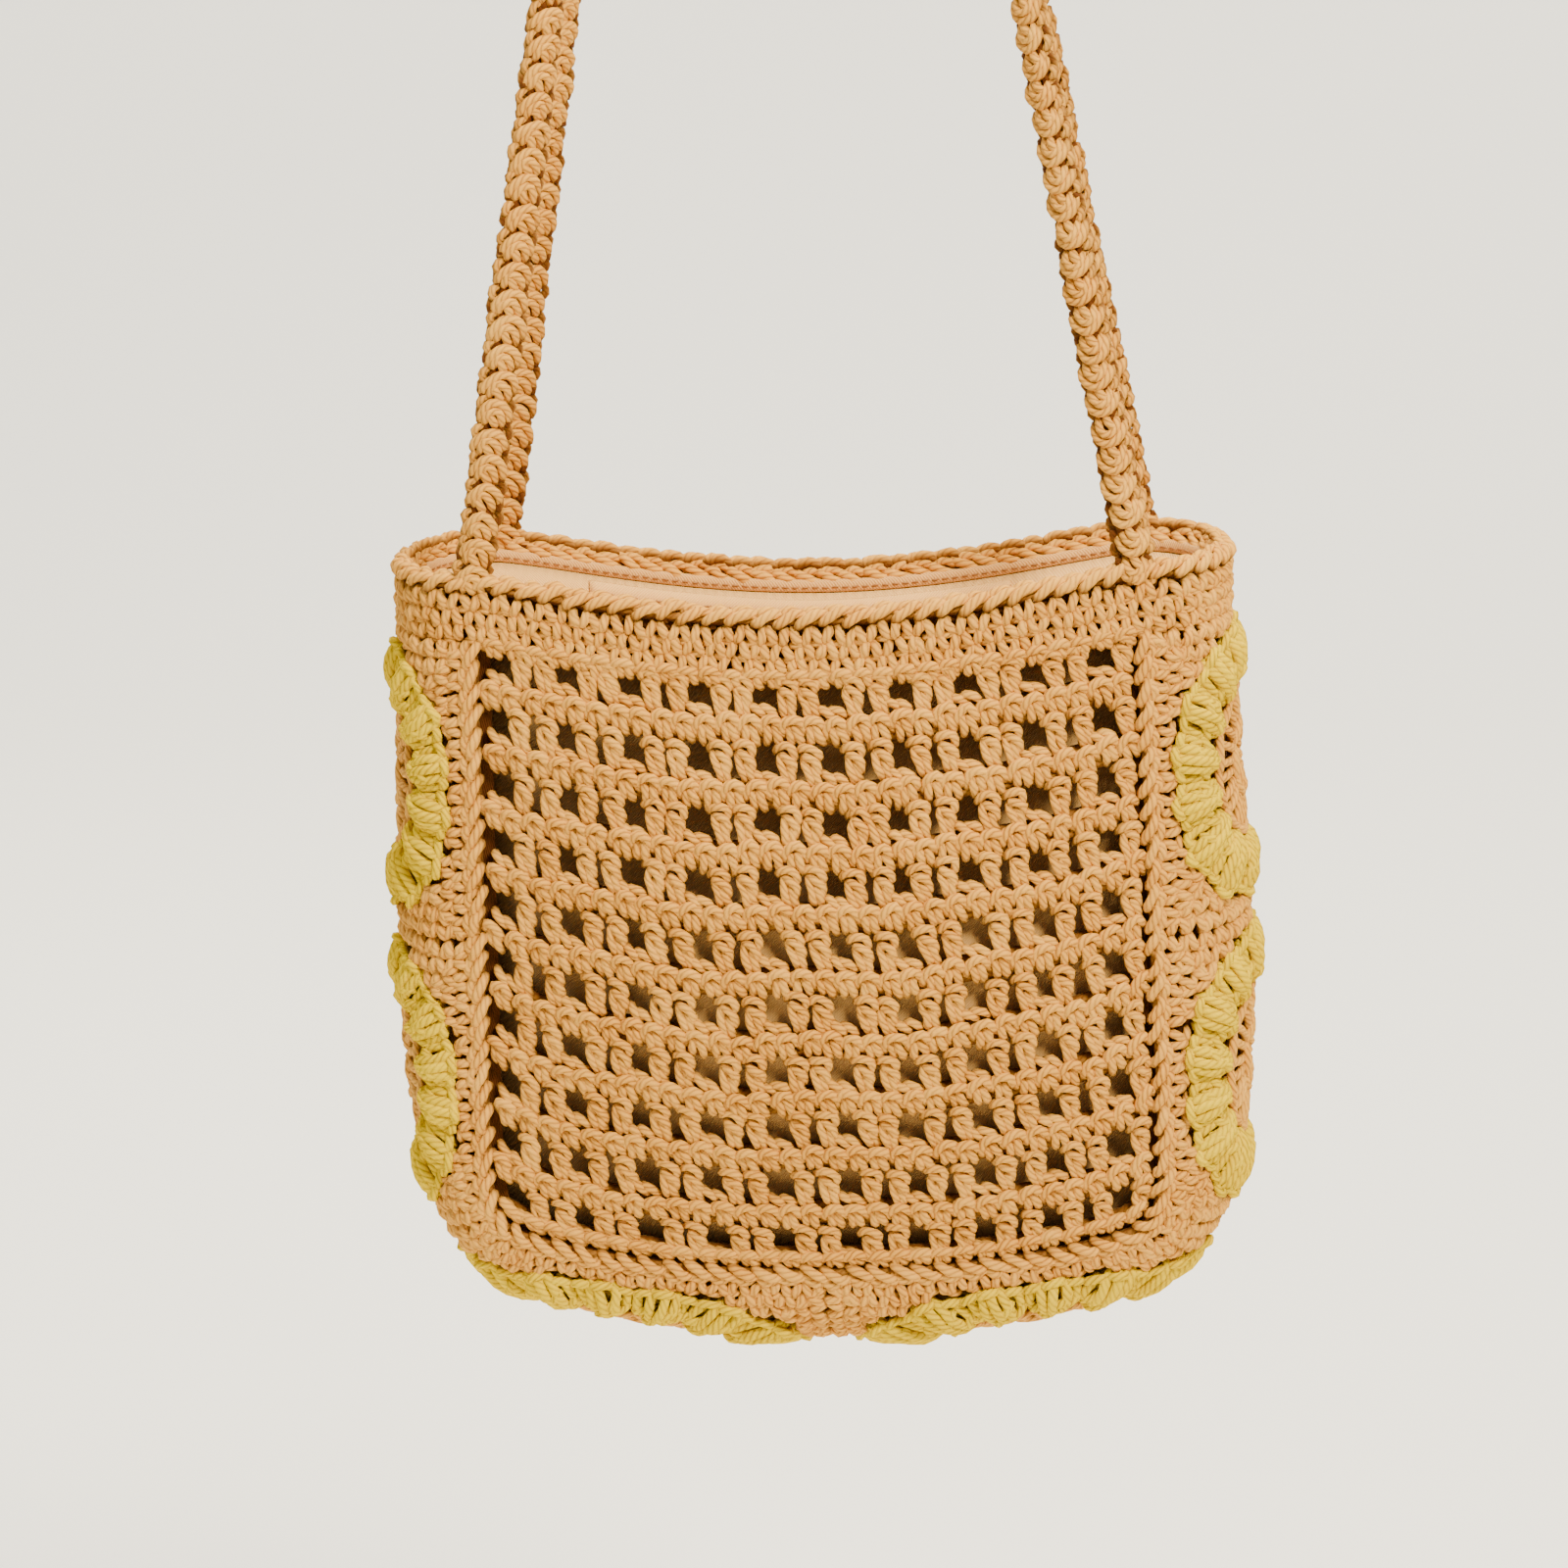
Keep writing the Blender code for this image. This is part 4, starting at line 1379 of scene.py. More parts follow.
class MeshPanel(Part):
    """The openwork panel: solid rows with pairs of posts between them.

    Attributes:
        reach: How far a row runs, as a share of the half width.
        row_cores: Yarns behind a whole row, in millimetres up from its middle.
        edge_rows: Places and yarns of the narrow rows at the top and the bottom.
        edge_height: Height of a stitch in a narrow row, as a share.
        post_reach: Half length of the yarn behind a post, in millimetres.
        chain_drop: From a gap's middle down to its chain, in millimetres.
    """

    reach = 0.985
    row_cores = (-2.6, 0.0, 2.6)
    edge_rows = ((0.004, (-0.8, 0.8)), (0.990, (-1.2, 1.2)))
    edge_height = 0.62
    post_reach = 5.5
    chain_drop = 5.0

    def build(self, name: str, facing: Facing, detail: float, seed: int) -> bpy.types.Object:
        """Crochet the panel.

        Args:
            name: Name of the CAD node.
            facing: Which panel.
            detail: Share of each strand's rings that is kept.
            seed: Seed of its small differences.

        Returns:
            The panel.
        """
        ground = PanelGround(self.form, facing)
        mesh = YarnMesh(seed, detail)
        self._solid_rows(mesh, ground)
        self._posts(mesh, ground)
        return self.place(mesh.build(name + "_yarn", self.materials.sand), Slot.SAND, name)

    def _solid_rows(self, mesh: YarnMesh, ground: PanelGround) -> None:
        """Solid rows between the gaps, with the yarn that runs along behind them.

        Args:
            mesh: Where to lay them.
            ground: The panel.
        """
        yarn = self.yarn
        count = yarn.columns.count * yarn.stitches_per_gap
        across = (np.arange(count) + 0.5) / count * 2 - 1
        line = np.linspace(-self.reach, self.reach, 21)
        middles = yarn.rows.places()[:-1] + yarn.rows.pitch / 2
        rows = [(down, self.row_cores) for down in middles]
        for index, (down, cores) in enumerate([*rows, *self.edge_rows]):
            up = 1 - down
            b = np.full(count, up)
            stagger = (index % 2 - 0.5) * 0.5 / count
            a = np.clip(across + stagger, -0.975, 0.975)
            scale = ground.millimetre(a, b)
            height = 1.0 if cores == self.row_cores else self.edge_height
            mesh.stitch(ground, a, b, (scale[0], scale[1] * height), SOLID_STITCH, yarn)
            # The yarns behind the row lie low, so they take the painted shade between the stitches.
            aside = np.array(cores)[:, None] * ground.millimetre(line, np.full(21, up))[1]
            mesh.add_tubes(ground.lay(line + 0 * aside, up + aside, -0.0014), 0.0017, 29)

    def _posts(self, mesh: YarnMesh, ground: PanelGround) -> None:
        """Posts beside the gaps, and the chain below each gap.

        Args:
            mesh: Where to lay them.
            ground: The panel.
        """
        yarn = self.yarn
        a, b = (grid.ravel() for grid in np.meshgrid(yarn.columns.places() * 2 - 1, 1 - yarn.rows.places()))
        scale = ground.millimetre(a, b)
        ends = np.array([-1.0, 0.0, 1.0]) * self.post_reach
        for side in (-1, 1):
            place = a + side * yarn.post_offset / MM * scale[0]
            place = place + mesh.random.normal(0, 0.0035, len(a))
            kept = place > -self.reach
            place, height, size = np.minimum(place[kept], 0.97), b[kept], (scale[0][kept], scale[1][kept])
            mesh.stitch(ground, place, height, size, POST, yarn)
            # The yarn behind each post lies low, so it takes the painted shade between the stitches.
            up = height[:, None] + ends * size[1][:, None]
            mesh.add_tubes(ground.lay(place[:, None] + 0 * ends, up, -0.0009), 0.0013, 4)
        mesh.stitch(ground, a, b - self.chain_drop * scale[1], scale, CHAIN_SPACE, yarn)


class TopBand(Part):
    """The solid rows between the panels and the rim."""

    def build(self) -> bpy.types.Object:
        """Crochet the band.

        Returns:
            The band.
        """
        ground = BandGround(self.form)
        mesh = YarnMesh(31)
        count = round(ground.length / self.yarn.band_pitch)
        pitch = ground.length / count
        rows = self.yarn.band_rows
        for row in range(rows):
            a = (np.arange(count) + 0.35 * row) * pitch
            b = np.full(count, (row + 0.5) / rows * ground.height)
            mesh.stitch(ground, a, b, (MM, MM), BAND_STITCH, self.yarn)
        # A sheet under the band lies low, so it takes the painted shade of the gaps between the stitches.
        steps = np.linspace(0, ground.length, 160, endpoint=False)
        heights = np.linspace(-0.0010, ground.height + 0.0030, 5)
        a, b = np.meshgrid(steps, heights, indexing="ij")
        mesh.add_sheet(ground.lay(a, b, np.full(a.shape, -0.0010)), (3.4, 0.7), wrap=True)
        return self.place(mesh.build("top_band_yarn", self.materials.sand), Slot.SAND, "top_band")


class Braid(Part):
    """A braid of two strands along a line."""

    def build(
        self, name: str, ground: CordGround, seed: int, inner: CordGround | None = None
    ) -> bpy.types.Object:
        """Braid it.

        Args:
            name: Name of the CAD node.
            ground: Its line.
            seed: Seed of its small differences.
            inner: The line of a second row of loops beside the first.

        Returns:
            The braid.
        """
        mesh = YarnMesh(seed)
        count = round(ground.length / self.yarn.braid_pitch)
        pitch = ground.length / count
        a = np.arange(count) * pitch if ground.closed else (np.arange(count) + 0.5) * pitch
        zero = np.zeros(count)
        mesh.stitch(ground, a, zero, (MM, MM), BRAID_LOOP, self.yarn)
        if inner:
            mesh.stitch(inner, a * inner.length / ground.length, zero, (MM, MM), BRAID_LOOP, self.yarn)
        line = np.linspace(0, ground.length, 141 if ground.closed else 121)
        zero = np.zeros_like(line)
        # The core yarn and the strip under the braid lie low, so they take the painted shade of the gaps
        # between the loops.
        mesh.add_tubes(ground.lay(line[None], zero[None], zero[None] - 0.0010), 0.0016, len(line))
        if not ground.closed:
            aside = np.linspace(-0.0046, 0.0046, 4)
            strip = ground.lay(line[:, None] + 0 * aside, 0 * line[:, None] + aside, -0.0026)
            mesh.add_sheet(strip, (4.0, 1.2))
        return self.place(mesh.build(name + "_yarn", self.materials.sand), Slot.SAND, name)

    def build_rim(self) -> bpy.types.Object:
        """Braid the rim round the mouth.

        Returns:
            The rim.
        """
        x, y, out = self.form.mouth(600)
        centres = np.stack([x, y, self.form.rim_height(x, y) - self.form.sizes.rim_radius], axis=-1)
        up = np.array([0.0, 0.0, 1.0])
        lean = unit(out * 0.75 + up)
        rim = CordGround(centres, unit(up * 0.75 - out), lean, closed=True)
        low = centres - out * 0.0008 - up * 0.0022
        inner = CordGround(low, unit(up + out * 0.2), unit(up * 0.2 - out), closed=True)
        return self.build("rim_braid", rim, 41, inner)

    def build_ridge(self, name: str, facing: Facing) -> bpy.types.Object:
        """Braid a seam.

        Args:
            name: Name of the CAD node.
            facing: Front or back.

        Returns:
            The seam's braid.
        """
        s = self.form.sizes
        point, out = self.form.read_seam(np.linspace(0.0008, 0.9992, 900))
        centres = point + np.array([0.0, facing.value * (s.half_depth + s.ridge_proud), 0.0])
        forward = np.array([0.0, facing.value * 1.0, 0.0])
        return self.build(name, CordGround(centres, out, unit(forward + 0.35 * out)), 43 + facing.value)


class GrannySquare(Part):
    """A square of the gusset: a tan centre, a yellow ring of clusters and a squared tan border."""

    ground: SquareGround

    def build(self, name: str, start: float, end: float, seed: int) -> list[bpy.types.Object]:
        """Crochet the square.

        Args:
            name: Name of the CAD nodes, without their ending.
            start: Where it starts along the seam.
            end: Where it ends.
            seed: Seed of its small differences.

        Returns:
            Its three pieces.
        """
        self.ground = SquareGround(self.form, start, end)
        sand, yellow = self.materials.sand, self.materials.yellow
        made = []
        for part, shape, finish, slot, detail in (
            ("centre", self._centre, sand, Slot.SAND, 1.0),
            ("ring", self._ring, yellow, Slot.YELLOW, 1.0),
            ("border", self._border, sand, Slot.SAND, 0.8),
        ):
            mesh = YarnMesh(seed, detail)
            shape(mesh)
            piece = mesh.build(f"{name}_{part}_yarn", finish)
            made.append(self.place(piece, slot, f"{name}_{part}"))
        return made

    def _ring_out(self, angle: Array) -> Array:
        """Outer reach of the yellow ring."""
        return self.form.sizes.ring_reach * round_reach(angle, self.form.sizes.ring_roundness)

    def _ring_in(self, angle: Array) -> Array:
        """Inner reach of the yellow ring."""
        return self.form.sizes.centre_reach * round_reach(angle, self.form.sizes.centre_roundness)

    def _first_round(self, angle: Array) -> Array:
        """Reach of the centre's first round."""
        return 0.45 * self._ring_in(angle)

    def _eye(self, angle: Array) -> Array:
        """Reach of the loop that the first round starts from."""
        return 0.03 + 0 * angle

    def _hole(self, angle: Array) -> Array:
        """Reach of the small hole in the cloth behind the centre."""
        return 0.02 + 0 * angle

    def _fan(
        self,
        mesh: YarnMesh,
        count: int,
        table: Sequence[tuple[float, float, float]],
        bounds: tuple[Reach, Reach],
        radius: float,
        rings: int = 8,
    ) -> None:
        """Lay one strand in every sector of a round.

        Args:
            mesh: Where to lay them.
            count: Sectors of the round.
            table: Points as a share of the sector, a share of the way out and a height in millimetres.
            bounds: Inner and outer reach by angle.
            radius: Of the strand.
            rings: Rings of each tube.
        """
        rows = np.array(table)
        rows = rows + mesh.random.normal(0, 1, (count, *rows.shape)) * np.array([0.02, 0.015, 0.12])
        sector = 2 * math.pi / count
        angle = (np.arange(count)[:, None] + 0.5 + rows[..., 0]) * sector
        start, stop = bounds[0](angle), bounds[1](angle)
        reach = start + (stop - start) * rows[..., 1]
        lines = self.ground.polar(angle, reach, rows[..., 2] * MM)
        mesh.add_tubes(lines, radius, rings)

    def _backing(self, mesh: YarnMesh, bounds: tuple[Reach, Reach], clusters: int = 0) -> None:
        """A sheet behind a round; where it lies low it takes the painted shade of the gaps between the
        stitches.

        Args:
            mesh: Where to add it.
            bounds: Inner and outer reach by angle.
            clusters: Clusters that it swells under, or none.
        """
        angle = np.linspace(0, 2 * math.pi, 96, endpoint=False)[:, None]
        share = np.linspace(0, 1, 7)
        start, stop = bounds[0](angle), bounds[1](angle)
        lift = np.full((96, 7), -0.0012)
        if clusters:
            crest = np.abs(np.sin(angle * clusters / 2)) ** 0.8
            lift = lift + 0.0034 * crest * np.sin(math.pi * share) ** 0.7
        grid = self.ground.polar(angle + 0 * share, start + (stop - start) * share, lift)
        mesh.add_sheet(grid.turned(), (1.5, 1.1), wrap=True)

    def _centre(self, mesh: YarnMesh) -> None:
        """Two tan rounds.

        Args:
            mesh: Where to lay them.
        """
        inner, outer = (self._eye, self._first_round), (self._first_round, self._ring_in)
        radius = self.yarn.radius
        for side in (-0.28, 0.28):
            wide = side * 1.1
            legs = ((side * 1.4, 0.2, 0.4), (wide, 0.5, 1.8), (wide, 0.9, 1.7), (side, 1.15, 0.2))
            self._fan(mesh, 6, legs, inner, radius)
            near = side * 0.9
            legs = ((near, -0.05, 0.2), (near, 0.3, 1.6), (side, 0.7, 1.7), (wide, 1.0, 0.2))
            self._fan(mesh, 12, legs, outer, radius)
        loop = ((-0.62, 0.95, -0.2), (-0.3, 1.06, 1.9), (0.2, 1.12, 2.3), (0.6, 0.98, 0.8))
        self._fan(mesh, 6, loop, inner, radius)
        loop = ((-0.62, 0.80, -0.2), (-0.3, 0.93, 1.9), (0.2, 0.98, 2.3), (0.6, 0.86, 0.8))
        self._fan(mesh, 12, loop, outer, radius)
        self._backing(mesh, (self._hole, self._ring_in))

    def _ring(self, mesh: YarnMesh) -> None:
        """The yellow clusters: posts that fan out of one stitch into a puff, wrapped and capped.

        Args:
            mesh: Where to lay them.
        """
        count = self.yarn.clusters
        bounds = (self._ring_in, self._ring_out)
        radius = self.yarn.radius * 1.28
        for spread in (-0.40, -0.20, 0.0, 0.20, 0.40):
            height = 4.8 * (1 - (spread / 0.50) ** 2) + 0.3
            far = 1.04 - 0.9 * spread**2
            table = (
                (spread * 0.30, 0.00, -0.2),
                (spread * 0.60, 0.14, height * 0.62),
                (spread * 0.90, 0.38, height * 0.98),
                (spread * 1.00, 0.62 * far, height),
                (spread * 0.94, 0.86 * far, height * 0.66),
                (spread * 0.76, far, -0.4),
            )
            self._fan(mesh, count, table, bounds, radius, 9)
        for spread, level in ((-0.30, 0.42), (-0.08, 0.28), (0.10, 0.52), (0.28, 0.34)):
            height = 4.6 * (1 - (spread / 0.50) ** 2)
            table = (
                (spread - 0.17, level - 0.10, height * 0.62),
                (spread - 0.06, level - 0.02, height + 0.5),
                (spread + 0.09, level + 0.08, height + 0.5),
                (spread + 0.20, level + 0.20, height * 0.66),
            )
            self._fan(mesh, count, table, bounds, self.yarn.radius, 7)
        for spread in (-0.31, 0.0, 0.31):
            height = 3.4 * (1 - (spread / 0.50) ** 2)
            far = 1.02 - 1.1 * spread**2
            table = (
                (spread - 0.19, far - 0.20, 0.2),
                (spread - 0.11, far - 0.06, height),
                (spread + 0.06, far, height + 0.3),
                (spread + 0.19, far - 0.16, 0.2),
            )
            self._fan(mesh, count, table, bounds, self.yarn.radius * 1.05, 7)
        self._backing(mesh, bounds, count)

    def _border(self, mesh: YarnMesh) -> None:
        """The tan rounds that square the ring, stitched along the square's four sides.

        Args:
            mesh: Where to lay them.
        """
        yarn, middle = self.yarn, np.zeros(1)
        half_a, half_b = (1 / float(size[0]) for size in self.ground.millimetre(middle, middle))
        pitch = yarn.border_pitch / MM
        for level in range(yarn.border_rounds):
            inset = (yarn.border_inset + level * yarn.border_round) / MM
            for side, turn in enumerate((math.pi, -math.pi / 2, 0.0, math.pi / 2)):
                across, along = (half_a, half_b) if side % 2 else (half_b, half_a)
                count = round(2 * (along - inset) / pitch)
                place = ((np.arange(count) + 0.5) / count * 2 - 1) * (along - inset + 1.0) / along
                edge = np.full(count, (1 - inset / across) * (-1 if side in (0, 3) else 1))
                a, b = (edge, place) if side % 2 else (place, edge)
                kept = np.hypot(a, b) > self._ring_out(np.arctan2(b, a)) + 0.035
                if kept.any():
                    a, b = a[kept], b[kept]
                    size = self.ground.millimetre(a, b)
                    mesh.stitch(self.ground, a, b, size, BAND_STITCH, yarn, turn)
        # A sheet under the border lies low, so it takes the painted shade of the gaps between the stitches.
        side = np.linspace(-1, 1, 14)[:-1]
        one = np.ones(13)
        p = np.concatenate([side, one, -side, -one])
        q = np.concatenate([-one, side, one, -side])
        angle, edge = np.arctan2(q, p)[:, None], np.hypot(p, q)[:, None]
        inside = self._ring_out(angle) - 0.03
        reach = inside + (edge - inside) * np.linspace(0, 1, 4)
        grid = self.ground.polar(angle + 0 * reach, reach, -0.0008)
        mesh.add_sheet(grid.turned(), (6.0, 1.1), wrap=True)


class Strap(Part):
    """A knotted strap over the support."""

    def build(self, name: str, facing: Facing) -> bpy.types.Object:
        """Knot the strap.

        Args:
            name: Name of the CAD node.
            facing: Front or back.

        Returns:
            The strap.
        """
        ground = self._route(facing)
        mesh = YarnMesh(60 + facing.value, 0.88)
        count = round(ground.length / self.yarn.knot_pitch)
        a = np.linspace(-0.0015, ground.length + 0.0015, count + 1)
        zero = np.zeros(count + 1)
        mesh.stitch(ground, a, zero, (MM, MM), STRAP_KNOT, self.yarn)
        mesh.stitch(ground.turned_over(), a, zero, (MM, MM), STRAP_KNOT, self.yarn)
        line = np.linspace(0, ground.length, 160)[None]
        for aside in (-0.0017, 0.0017):
            mesh.add_tubes(ground.lay(line, 0 * line + aside, 0 * line), 0.0018, 160)
        return self.place(mesh.build(name + "_yarn", self.materials.sand), Slot.SAND, name)

    def _route(self, facing: Facing) -> CordGround:
        """The strap's line from the left of the rim over the support to the right.

        Args:
            facing: Front or back.

        Returns:
            The line.
        """
        s = self.form.sizes
        radius = s.support_radius + s.strap_thickness / 2
        foot = np.array([-s.strap_half_spread, facing.value * s.half_depth, s.rim_z + s.piece_gap])
        hub_z = -s.support_radius
        reach = math.hypot(foot[0], foot[2] - hub_z)
        lean = math.atan2(-foot[0], hub_z - foot[2]) - math.asin(radius / reach)
        start = math.pi - lean
        apex_y = facing.value * (s.strap_width + s.strap_side_gap) / 2
        top = np.array([radius * math.cos(start), apex_y, hub_z + radius * math.sin(start)])
        share = np.linspace(0, 1, 60, endpoint=False)[:, None]
        rise = foot + (top - foot) * share
        angle = np.linspace(start, math.pi - start, 60)
        arch = [radius * np.cos(angle), np.full_like(angle, apex_y), hub_z + radius * np.sin(angle)]
        fall = rise[::-1] * np.array([-1.0, 1.0, 1.0])
        centres = np.concatenate([rise, np.stack(arch, axis=-1), fall])
        turned = np.concatenate([share[:, 0], np.ones(60), share[::-1, 0]])[:, None] * math.pi / 2
        along = unit(np.gradient(centres, axis=0))
        depth = np.array([0.0, 1.0, 0.0])
        sideways = unit(np.cross(depth, along))
        wide = unit(sideways * np.cos(turned) + depth * np.sin(turned))
        return CordGround(centres, wide, unit(np.cross(along, wide)))


class Lining(Part):
    """The twill lining, its folded hem with a running stitch, and its slip pocket.

    Attributes:
        thread: Sizes of the running stitches.
        fold_depth: Half depth of the sack's folds, in metres.
        sack_cut: Width and length that the sack was cut to, folded at its bottom, in metres.
    """

    thread = ThreadSizes()
    fold_depth = 0.0007
    sack_cut = (0.250, 0.440)

    def build(self) -> list[bpy.types.Object]:
        """Sew the lining.

        Returns:
            Its pieces.
        """
        return [self._sack(), self._hem(), self._pocket(), self._hem_stitches(), self._pocket_stitches()]

    def _sack(self) -> bpy.types.Object:
        """The sack, with soft upright folds.

        Returns:
            The sack.
        """
        s, form = self.form.sizes, self.form
        side, depth = s.mouth_bulge - s.hem_inset, s.half_depth - s.hem_inset
        front, back = BULGES[Facing.FRONT].top, BULGES[Facing.BACK].top
        count = 200
        turn = np.linspace(0, 2 * math.pi, count, endpoint=False)
        grid = []
        for drop in np.linspace(0, 1, 30):
            place = np.array(drop)
            row = {
                key: float(spline_rows(place, LINING_SECTIONS, "drop", key)) for key in LINING_SECTIONS[0]
            }
            width = s.half_width * float(form.taper(place)) * row["width"]
            depths = (depth * row["front"], depth * row["back"])
            swells = (front * row["swell"], back * row["back"])
            loop = form.outline(width, side * row["side"], depths, swells, count)
            fade = self.fold_depth * math.sin(math.pi * min(1, drop * 1.3))
            fold = np.sin(turn * 9 + drop * 2.0) * np.sin(turn * 4 + 1.0) * fade
            top = form.rim_height(loop[:, 0], loop[:, 1]) - s.hem_drop - s.hem_height - s.piece_gap
            z = top + (s.lining_bottom - top) * drop
            spot = loop + loop_normals(loop)[:, :2] * (fold - 0.0003)[:, None]
            grid.append(np.concatenate([spot, z[:, None]], axis=1))
        mesh = YarnMesh(71)
        shaded_outside = np.stack(grid, axis=1)
        floor = shaded_outside[:, -1]
        middle = floor.mean(axis=0)
        inward = np.stack([floor + (middle - floor) * share for share in (0.33, 0.66, 0.98)], axis=1)
        outer = np.concatenate([shaded_outside, inward], axis=1)
        inner = outer + (middle - outer) * np.array([0.006, 0.02, 0.0]) + np.array([0.0, 0.0, 0.0004])
        # The outer face takes tone 0.4: painted shade behind the crochet's gaps.
        mesh.add_cloth(inner, outer, (2.6, 7.4), True, 0.4)
        made = mesh.build("lining_twill", self.materials.twill, weld=True)
        self.place(made, Slot.TWILL, "lining")
        return made

    def _hem(self) -> bpy.types.Object:
        """The folded edge, a closed flat band.

        Returns:
            The hem.
        """
        s = self.form.sizes
        x, y, out = self.form.mouth(360)
        high = self.form.rim_height(x, y) - s.hem_drop
        middle = np.stack([x, y, high - s.hem_height / 2], axis=-1) - out * s.hem_inset
        up = np.array([0.0, 0.0, 1.0])
        grid = []
        for turn in np.linspace(0, 2 * math.pi, 13):
            rise = math.copysign(abs(math.sin(turn)) ** 0.6, math.sin(turn)) * s.hem_height / 2
            grid.append(middle + out * (math.cos(turn) * s.hem_thickness / 2) + up * rise)
        mesh = YarnMesh(72)
        mesh.add_sheet(np.stack(grid, axis=1), (1.5, 0.9), wrap=True, tone=0.0)
        return self.place(mesh.build("lining_hem_twill", self.materials.hem), Slot.TWILL, "lining_hem")

    def _pocket_surface(self, across: Array, drop: Array) -> Array:
        """Points of the pocket.

        Args:
            across: From -1 to 1.
            drop: Metres down from its edge.

        Returns:
            Points.
        """
        s = self.form.sizes
        x = s.pocket_offset + across * s.pocket_width / 2
        inset = s.hem_inset + s.lining_wall + s.piece_gap
        y = s.half_depth - inset + BULGES[Facing.BACK].top * (1 - np.abs(x / s.half_width) ** s.bulge_power)
        slack = (1 - across**2) * np.exp(-drop / 0.02)
        y = y - slack * (0.0016 + 0.0010 * np.sin(across * 5.0 + 1.0))
        top = self.form.rim_height(x, y) - s.hem_drop - s.hem_height - s.pocket_drop
        return np.stack([x, y, top - drop], axis=-1)

    def _pocket(self) -> bpy.types.Object:
        """The slip pocket, a little slack at its edge.

        Returns:
            The pocket.
        """
        s = self.form.sizes
        drops = np.linspace(0, s.pocket_height, 30)
        across, drop = np.meshgrid(np.linspace(-1, 1, 61), drops, indexing="ij")
        front = self._pocket_surface(across, drop)
        back = front + np.array([0.0, s.lining_wall * 0.8, 0.0])
        mesh = YarnMesh(73)
        mesh.add_cloth(front, back, (2.1, 3.4), False, 0.0)
        made = mesh.build("lining_pocket_twill", self.materials.twill, weld=True)
        self.place(made, Slot.TWILL, "lining_pocket")
        return made

    def _hem_stitches(self) -> bpy.types.Object:
        """A running stitch along the hem.

        Returns:
            The stitches.
        """
        s = self.form.sizes
        x, y, out = self.form.mouth(3600)
        z = self.form.rim_height(x, y) - s.hem_drop - s.hem_height * self.thread.hem_place
        centres = np.stack([x, y, z], axis=-1)
        centres = centres - out * (s.hem_inset + s.hem_thickness / 2)
        ground = CordGround(centres, np.broadcast_to([0.0, 0.0, 1.0], out.shape), -out, closed=True)
        return self._running_stitch("lining_hem_stitches", ground, self.thread.hem_pitch, 74)

    def _pocket_stitches(self) -> bpy.types.Object:
        """A running stitch under the pocket's edge.

        Returns:
            The stitches.
        """
        across = np.linspace(-0.99, 0.99, 200)
        drop = np.full(200, self.thread.pocket_place)
        centres = self._pocket_surface(across, drop) - np.array([0.0, 0.0002, 0.0])
        up = np.broadcast_to([0.0, 0.0, 1.0], centres.shape)
        ground = CordGround(centres, up, np.broadcast_to([0.0, -1.0, 0.0], centres.shape))
        return self._running_stitch("lining_pocket_stitches", ground, self.thread.pocket_pitch, 75)

    def _running_stitch(self, name: str, ground: CordGround, pitch: float, seed: int) -> bpy.types.Object:
        """Short stitches of thread along a line.

        Args:
            name: Name of the piece.
            ground: The line.
            pitch: Between two stitches, in metres.
            seed: Seed of their small differences.

        Returns:
            The stitches.
        """
        mesh = YarnMesh(seed)
        count = int(ground.length / pitch)
        middle = (np.arange(count) + 0.5) * pitch
        along = middle[:, None] + np.array(self.thread.along)
        lift = np.broadcast_to(self.thread.lift, along.shape)
        aside = mesh.random.normal(0, 0.00008, along.shape)
        mesh.add_tubes(ground.lay(along, aside, lift), self.thread.radius, 6)
        return self.place(mesh.build(name, self.materials.thread), Slot.TWILL)


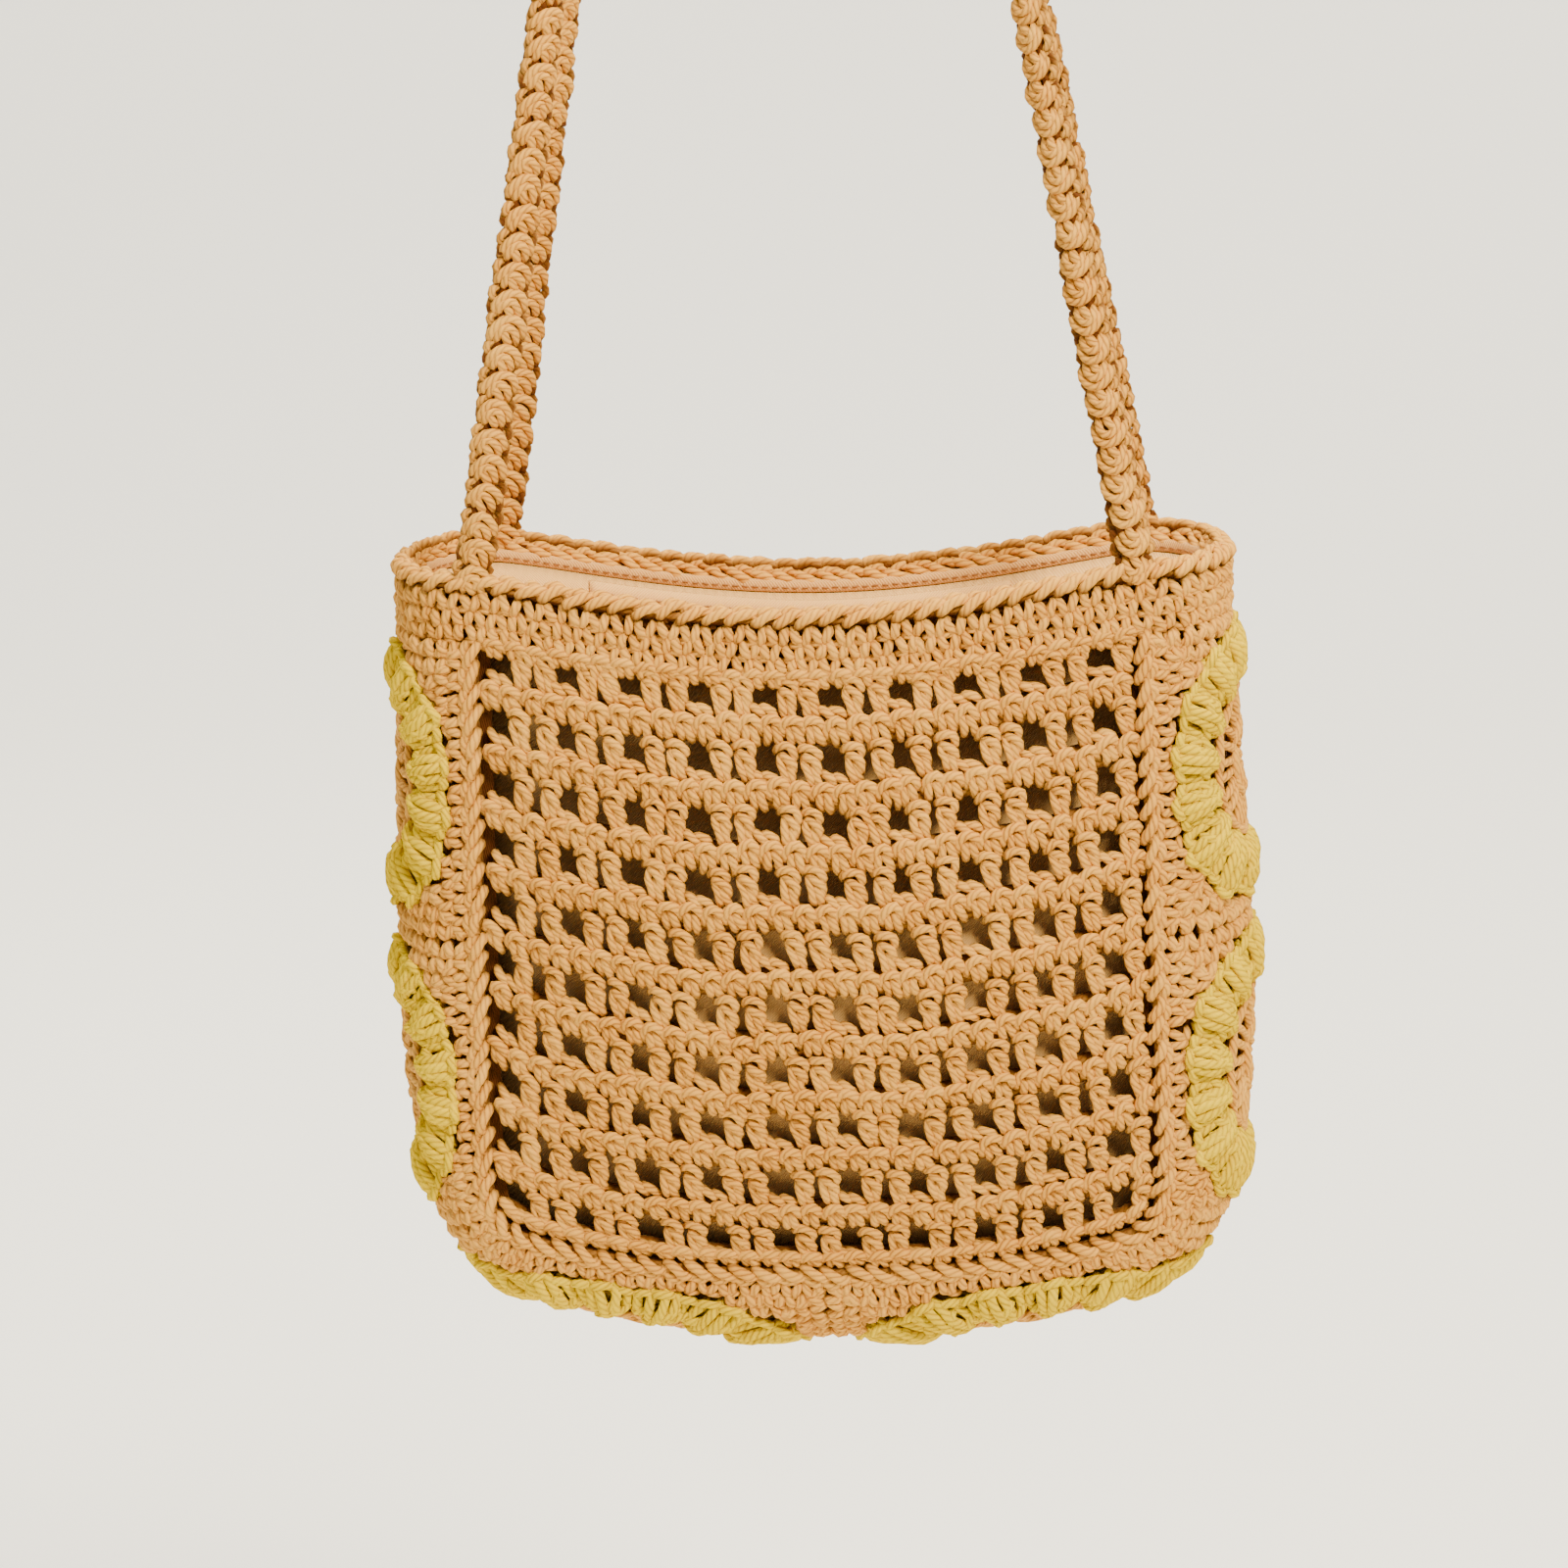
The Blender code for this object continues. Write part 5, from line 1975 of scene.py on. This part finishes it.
@dataclass(frozen=True)
class Studio:
    """Backdrop, lights and camera.

    Attributes:
        field_of_view: Of the camera, in degrees.
        place: Of the camera, in metres.
        yaw: Turn to the left, in degrees.
        pitch: Look down, in degrees.
        roll: In degrees.
        floor: Height of the floor, in metres.
        rear: How far behind the bag the backdrop stands.
        bend: Radius of the curve from the floor into the backdrop.
        reach: How far the floor runs to each side and to the front.
        backdrop_top: Height of the backdrop's upper edge.
    """

    field_of_view: float = 18.0
    place: tuple[float, float, float] = (0.1201, -1.4104, -0.0761)
    yaw: float = 5.28
    pitch: float = 15.04
    roll: float = -2.08
    floor: float = -0.95
    rear: float = 2.9
    bend: float = 0.9
    reach: float = 4.0
    backdrop_top: float = 3.2

    def build(self, materials: Materials) -> None:
        """Set up the studio.

        Args:
            materials: All materials.
        """
        self._backdrop(materials.paper)
        self._light("key", (0.75, -1.05, 0.75), 0.4, 60.0, "#FFF4E0", BAG_MIDDLE)
        self._light("fill", (-1.3, -1.1, 0.0), 1.0, 9.0, "#F4F4FF", BAG_MIDDLE)
        self._light("top", (0.15, -0.15, 1.0), 0.6, 26.0, "#FFF6E6", BAG_MIDDLE)
        self._light("backdrop_left", (-1.3, 1.2, 1.3), 0.8, 46.0, "#FFFFFF", (-0.3, 2.6, -0.6))
        self._light("backdrop_right", (1.3, 1.2, 1.3), 0.8, 46.0, "#FFFFFF", (0.3, 2.6, -0.6))
        self._light("back", (-0.7, 1.3, 0.8), 0.6, 22.0, "#FFF9EE", BAG_MIDDLE)
        world = bpy.data.worlds.new("studio")
        world.use_nodes = True
        world.node_tree.nodes["Background"].inputs[0].default_value = linear("#F2F1EE")
        world.node_tree.nodes["Background"].inputs[1].default_value = 0.48
        bpy.context.scene.world = world
        self._camera()

    def _backdrop(self, material: bpy.types.Material) -> None:
        """A pale floor that sweeps up into a backdrop.

        Args:
            material: Its material.
        """
        turn = np.linspace(0, math.pi / 2, 24)
        run = self.rear - self.bend + self.bend * np.sin(turn)
        rise = self.floor + self.bend - self.bend * np.cos(turn)
        y = np.concatenate([[-self.reach], run, [self.rear]])
        z = np.concatenate([[self.floor], rise, [self.backdrop_top]])
        edges = [np.stack([np.full_like(y, x), y, z], axis=-1) for x in (-self.reach, self.reach)]
        grid = np.stack(edges, axis=0)
        mesh = YarnMesh(0)
        mesh.add_sheet(grid, (1.0, 1.0))
        mesh.build("studio_backdrop", material)

    def _light(
        self, name: str, place: Place, size: float, power: float, colour: str, target: Place
    ) -> None:
        """A soft square light.

        Args:
            name: Its name.
            place: Where it stands.
            size: Of its side, in metres.
            power: In watts.
            colour: Its colour.
            target: What it faces.
        """
        lamp = bpy.data.lights.new(name, "AREA")
        lamp.size = size
        lamp.energy = power
        lamp.color = linear(colour)[:3]
        made = bpy.data.objects.new(name, lamp)
        made.location = place
        towards = Vector(target) - Vector(place)
        made.rotation_euler = towards.to_track_quat("-Z", "Y").to_euler()
        bpy.context.scene.collection.objects.link(made)

    def _camera(self) -> None:
        """The camera, at the angle of the photograph."""
        yaw, pitch, roll = (math.radians(angle) for angle in (self.yaw, self.pitch, self.roll))
        flat = math.cos(pitch)
        forward = Vector((-math.sin(yaw) * flat, math.cos(yaw) * flat, -math.sin(pitch)))
        level = Vector((math.cos(yaw), math.sin(yaw), 0.0))
        above = level.cross(forward)
        right = level * math.cos(roll) + above * math.sin(roll)
        up = above * math.cos(roll) - level * math.sin(roll)
        lens = bpy.data.cameras.new("camera")
        lens.angle = math.radians(self.field_of_view)
        made = bpy.data.objects.new("camera", lens)
        turned = Matrix((right, up, -forward)).transposed().to_4x4()
        made.matrix_world = Matrix.Translation(self.place) @ turned
        bpy.context.scene.collection.objects.link(made)
        bpy.context.scene.camera = made


class Bag:
    """The whole bag."""

    def __init__(self) -> None:
        """Set out the form and make the materials."""
        self.form = BagForm(BagSizes())
        self.materials = Materials()
        self.yarn = YarnSizes()

    def build(self) -> None:
        """Build every sub-assembly."""
        tools = (self.form, self.yarn, self.materials)
        panel = MeshPanel(*tools)
        panel.build("front_panel", Facing.FRONT, 1.0, 21)
        panel.build("back_panel", Facing.BACK, 0.72, 22)
        TopBand(*tools).build()
        braid = Braid(*tools)
        braid.build_rim()
        braid.build_ridge("front_seam_ridge", Facing.FRONT)
        braid.build_ridge("back_seam_ridge", Facing.BACK)
        self._build_squares(GrannySquare(*tools))
        strap = Strap(*tools)
        strap.build("strap_front", Facing.FRONT)
        strap.build("strap_back", Facing.BACK)
        Lining(*tools).build()

    def _build_squares(self, square: GrannySquare) -> None:
        """Six squares: two down each side and two along the bottom.

        Args:
            square: What crochets them.
        """
        corner = self.form.corner
        joints = (0.0, corner / 2, corner, 0.5, 1 - corner, 1 - corner / 2, 1.0)
        names = ("left_upper", "left_lower", "bottom_left", "bottom_right", "right_lower", "right_upper")
        for seed, (name, start, end) in enumerate(zip(names, joints[:-1], joints[1:])):
            square.build("square_" + name, start, end, 50 + seed)


def main() -> None:
    """Build the bag and the studio."""
    logging.basicConfig(level=logging.INFO, format="%(name)s %(message)s")
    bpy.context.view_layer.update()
    bag = Bag()
    bag.build()
    Studio().build(bag.materials)


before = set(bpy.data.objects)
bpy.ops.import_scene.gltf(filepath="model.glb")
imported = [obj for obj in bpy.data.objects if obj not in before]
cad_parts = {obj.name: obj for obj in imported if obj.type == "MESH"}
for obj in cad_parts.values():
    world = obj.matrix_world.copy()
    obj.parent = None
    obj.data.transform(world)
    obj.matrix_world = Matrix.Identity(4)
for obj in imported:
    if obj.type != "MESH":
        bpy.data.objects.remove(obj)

if __name__ == "__main__":
    main()
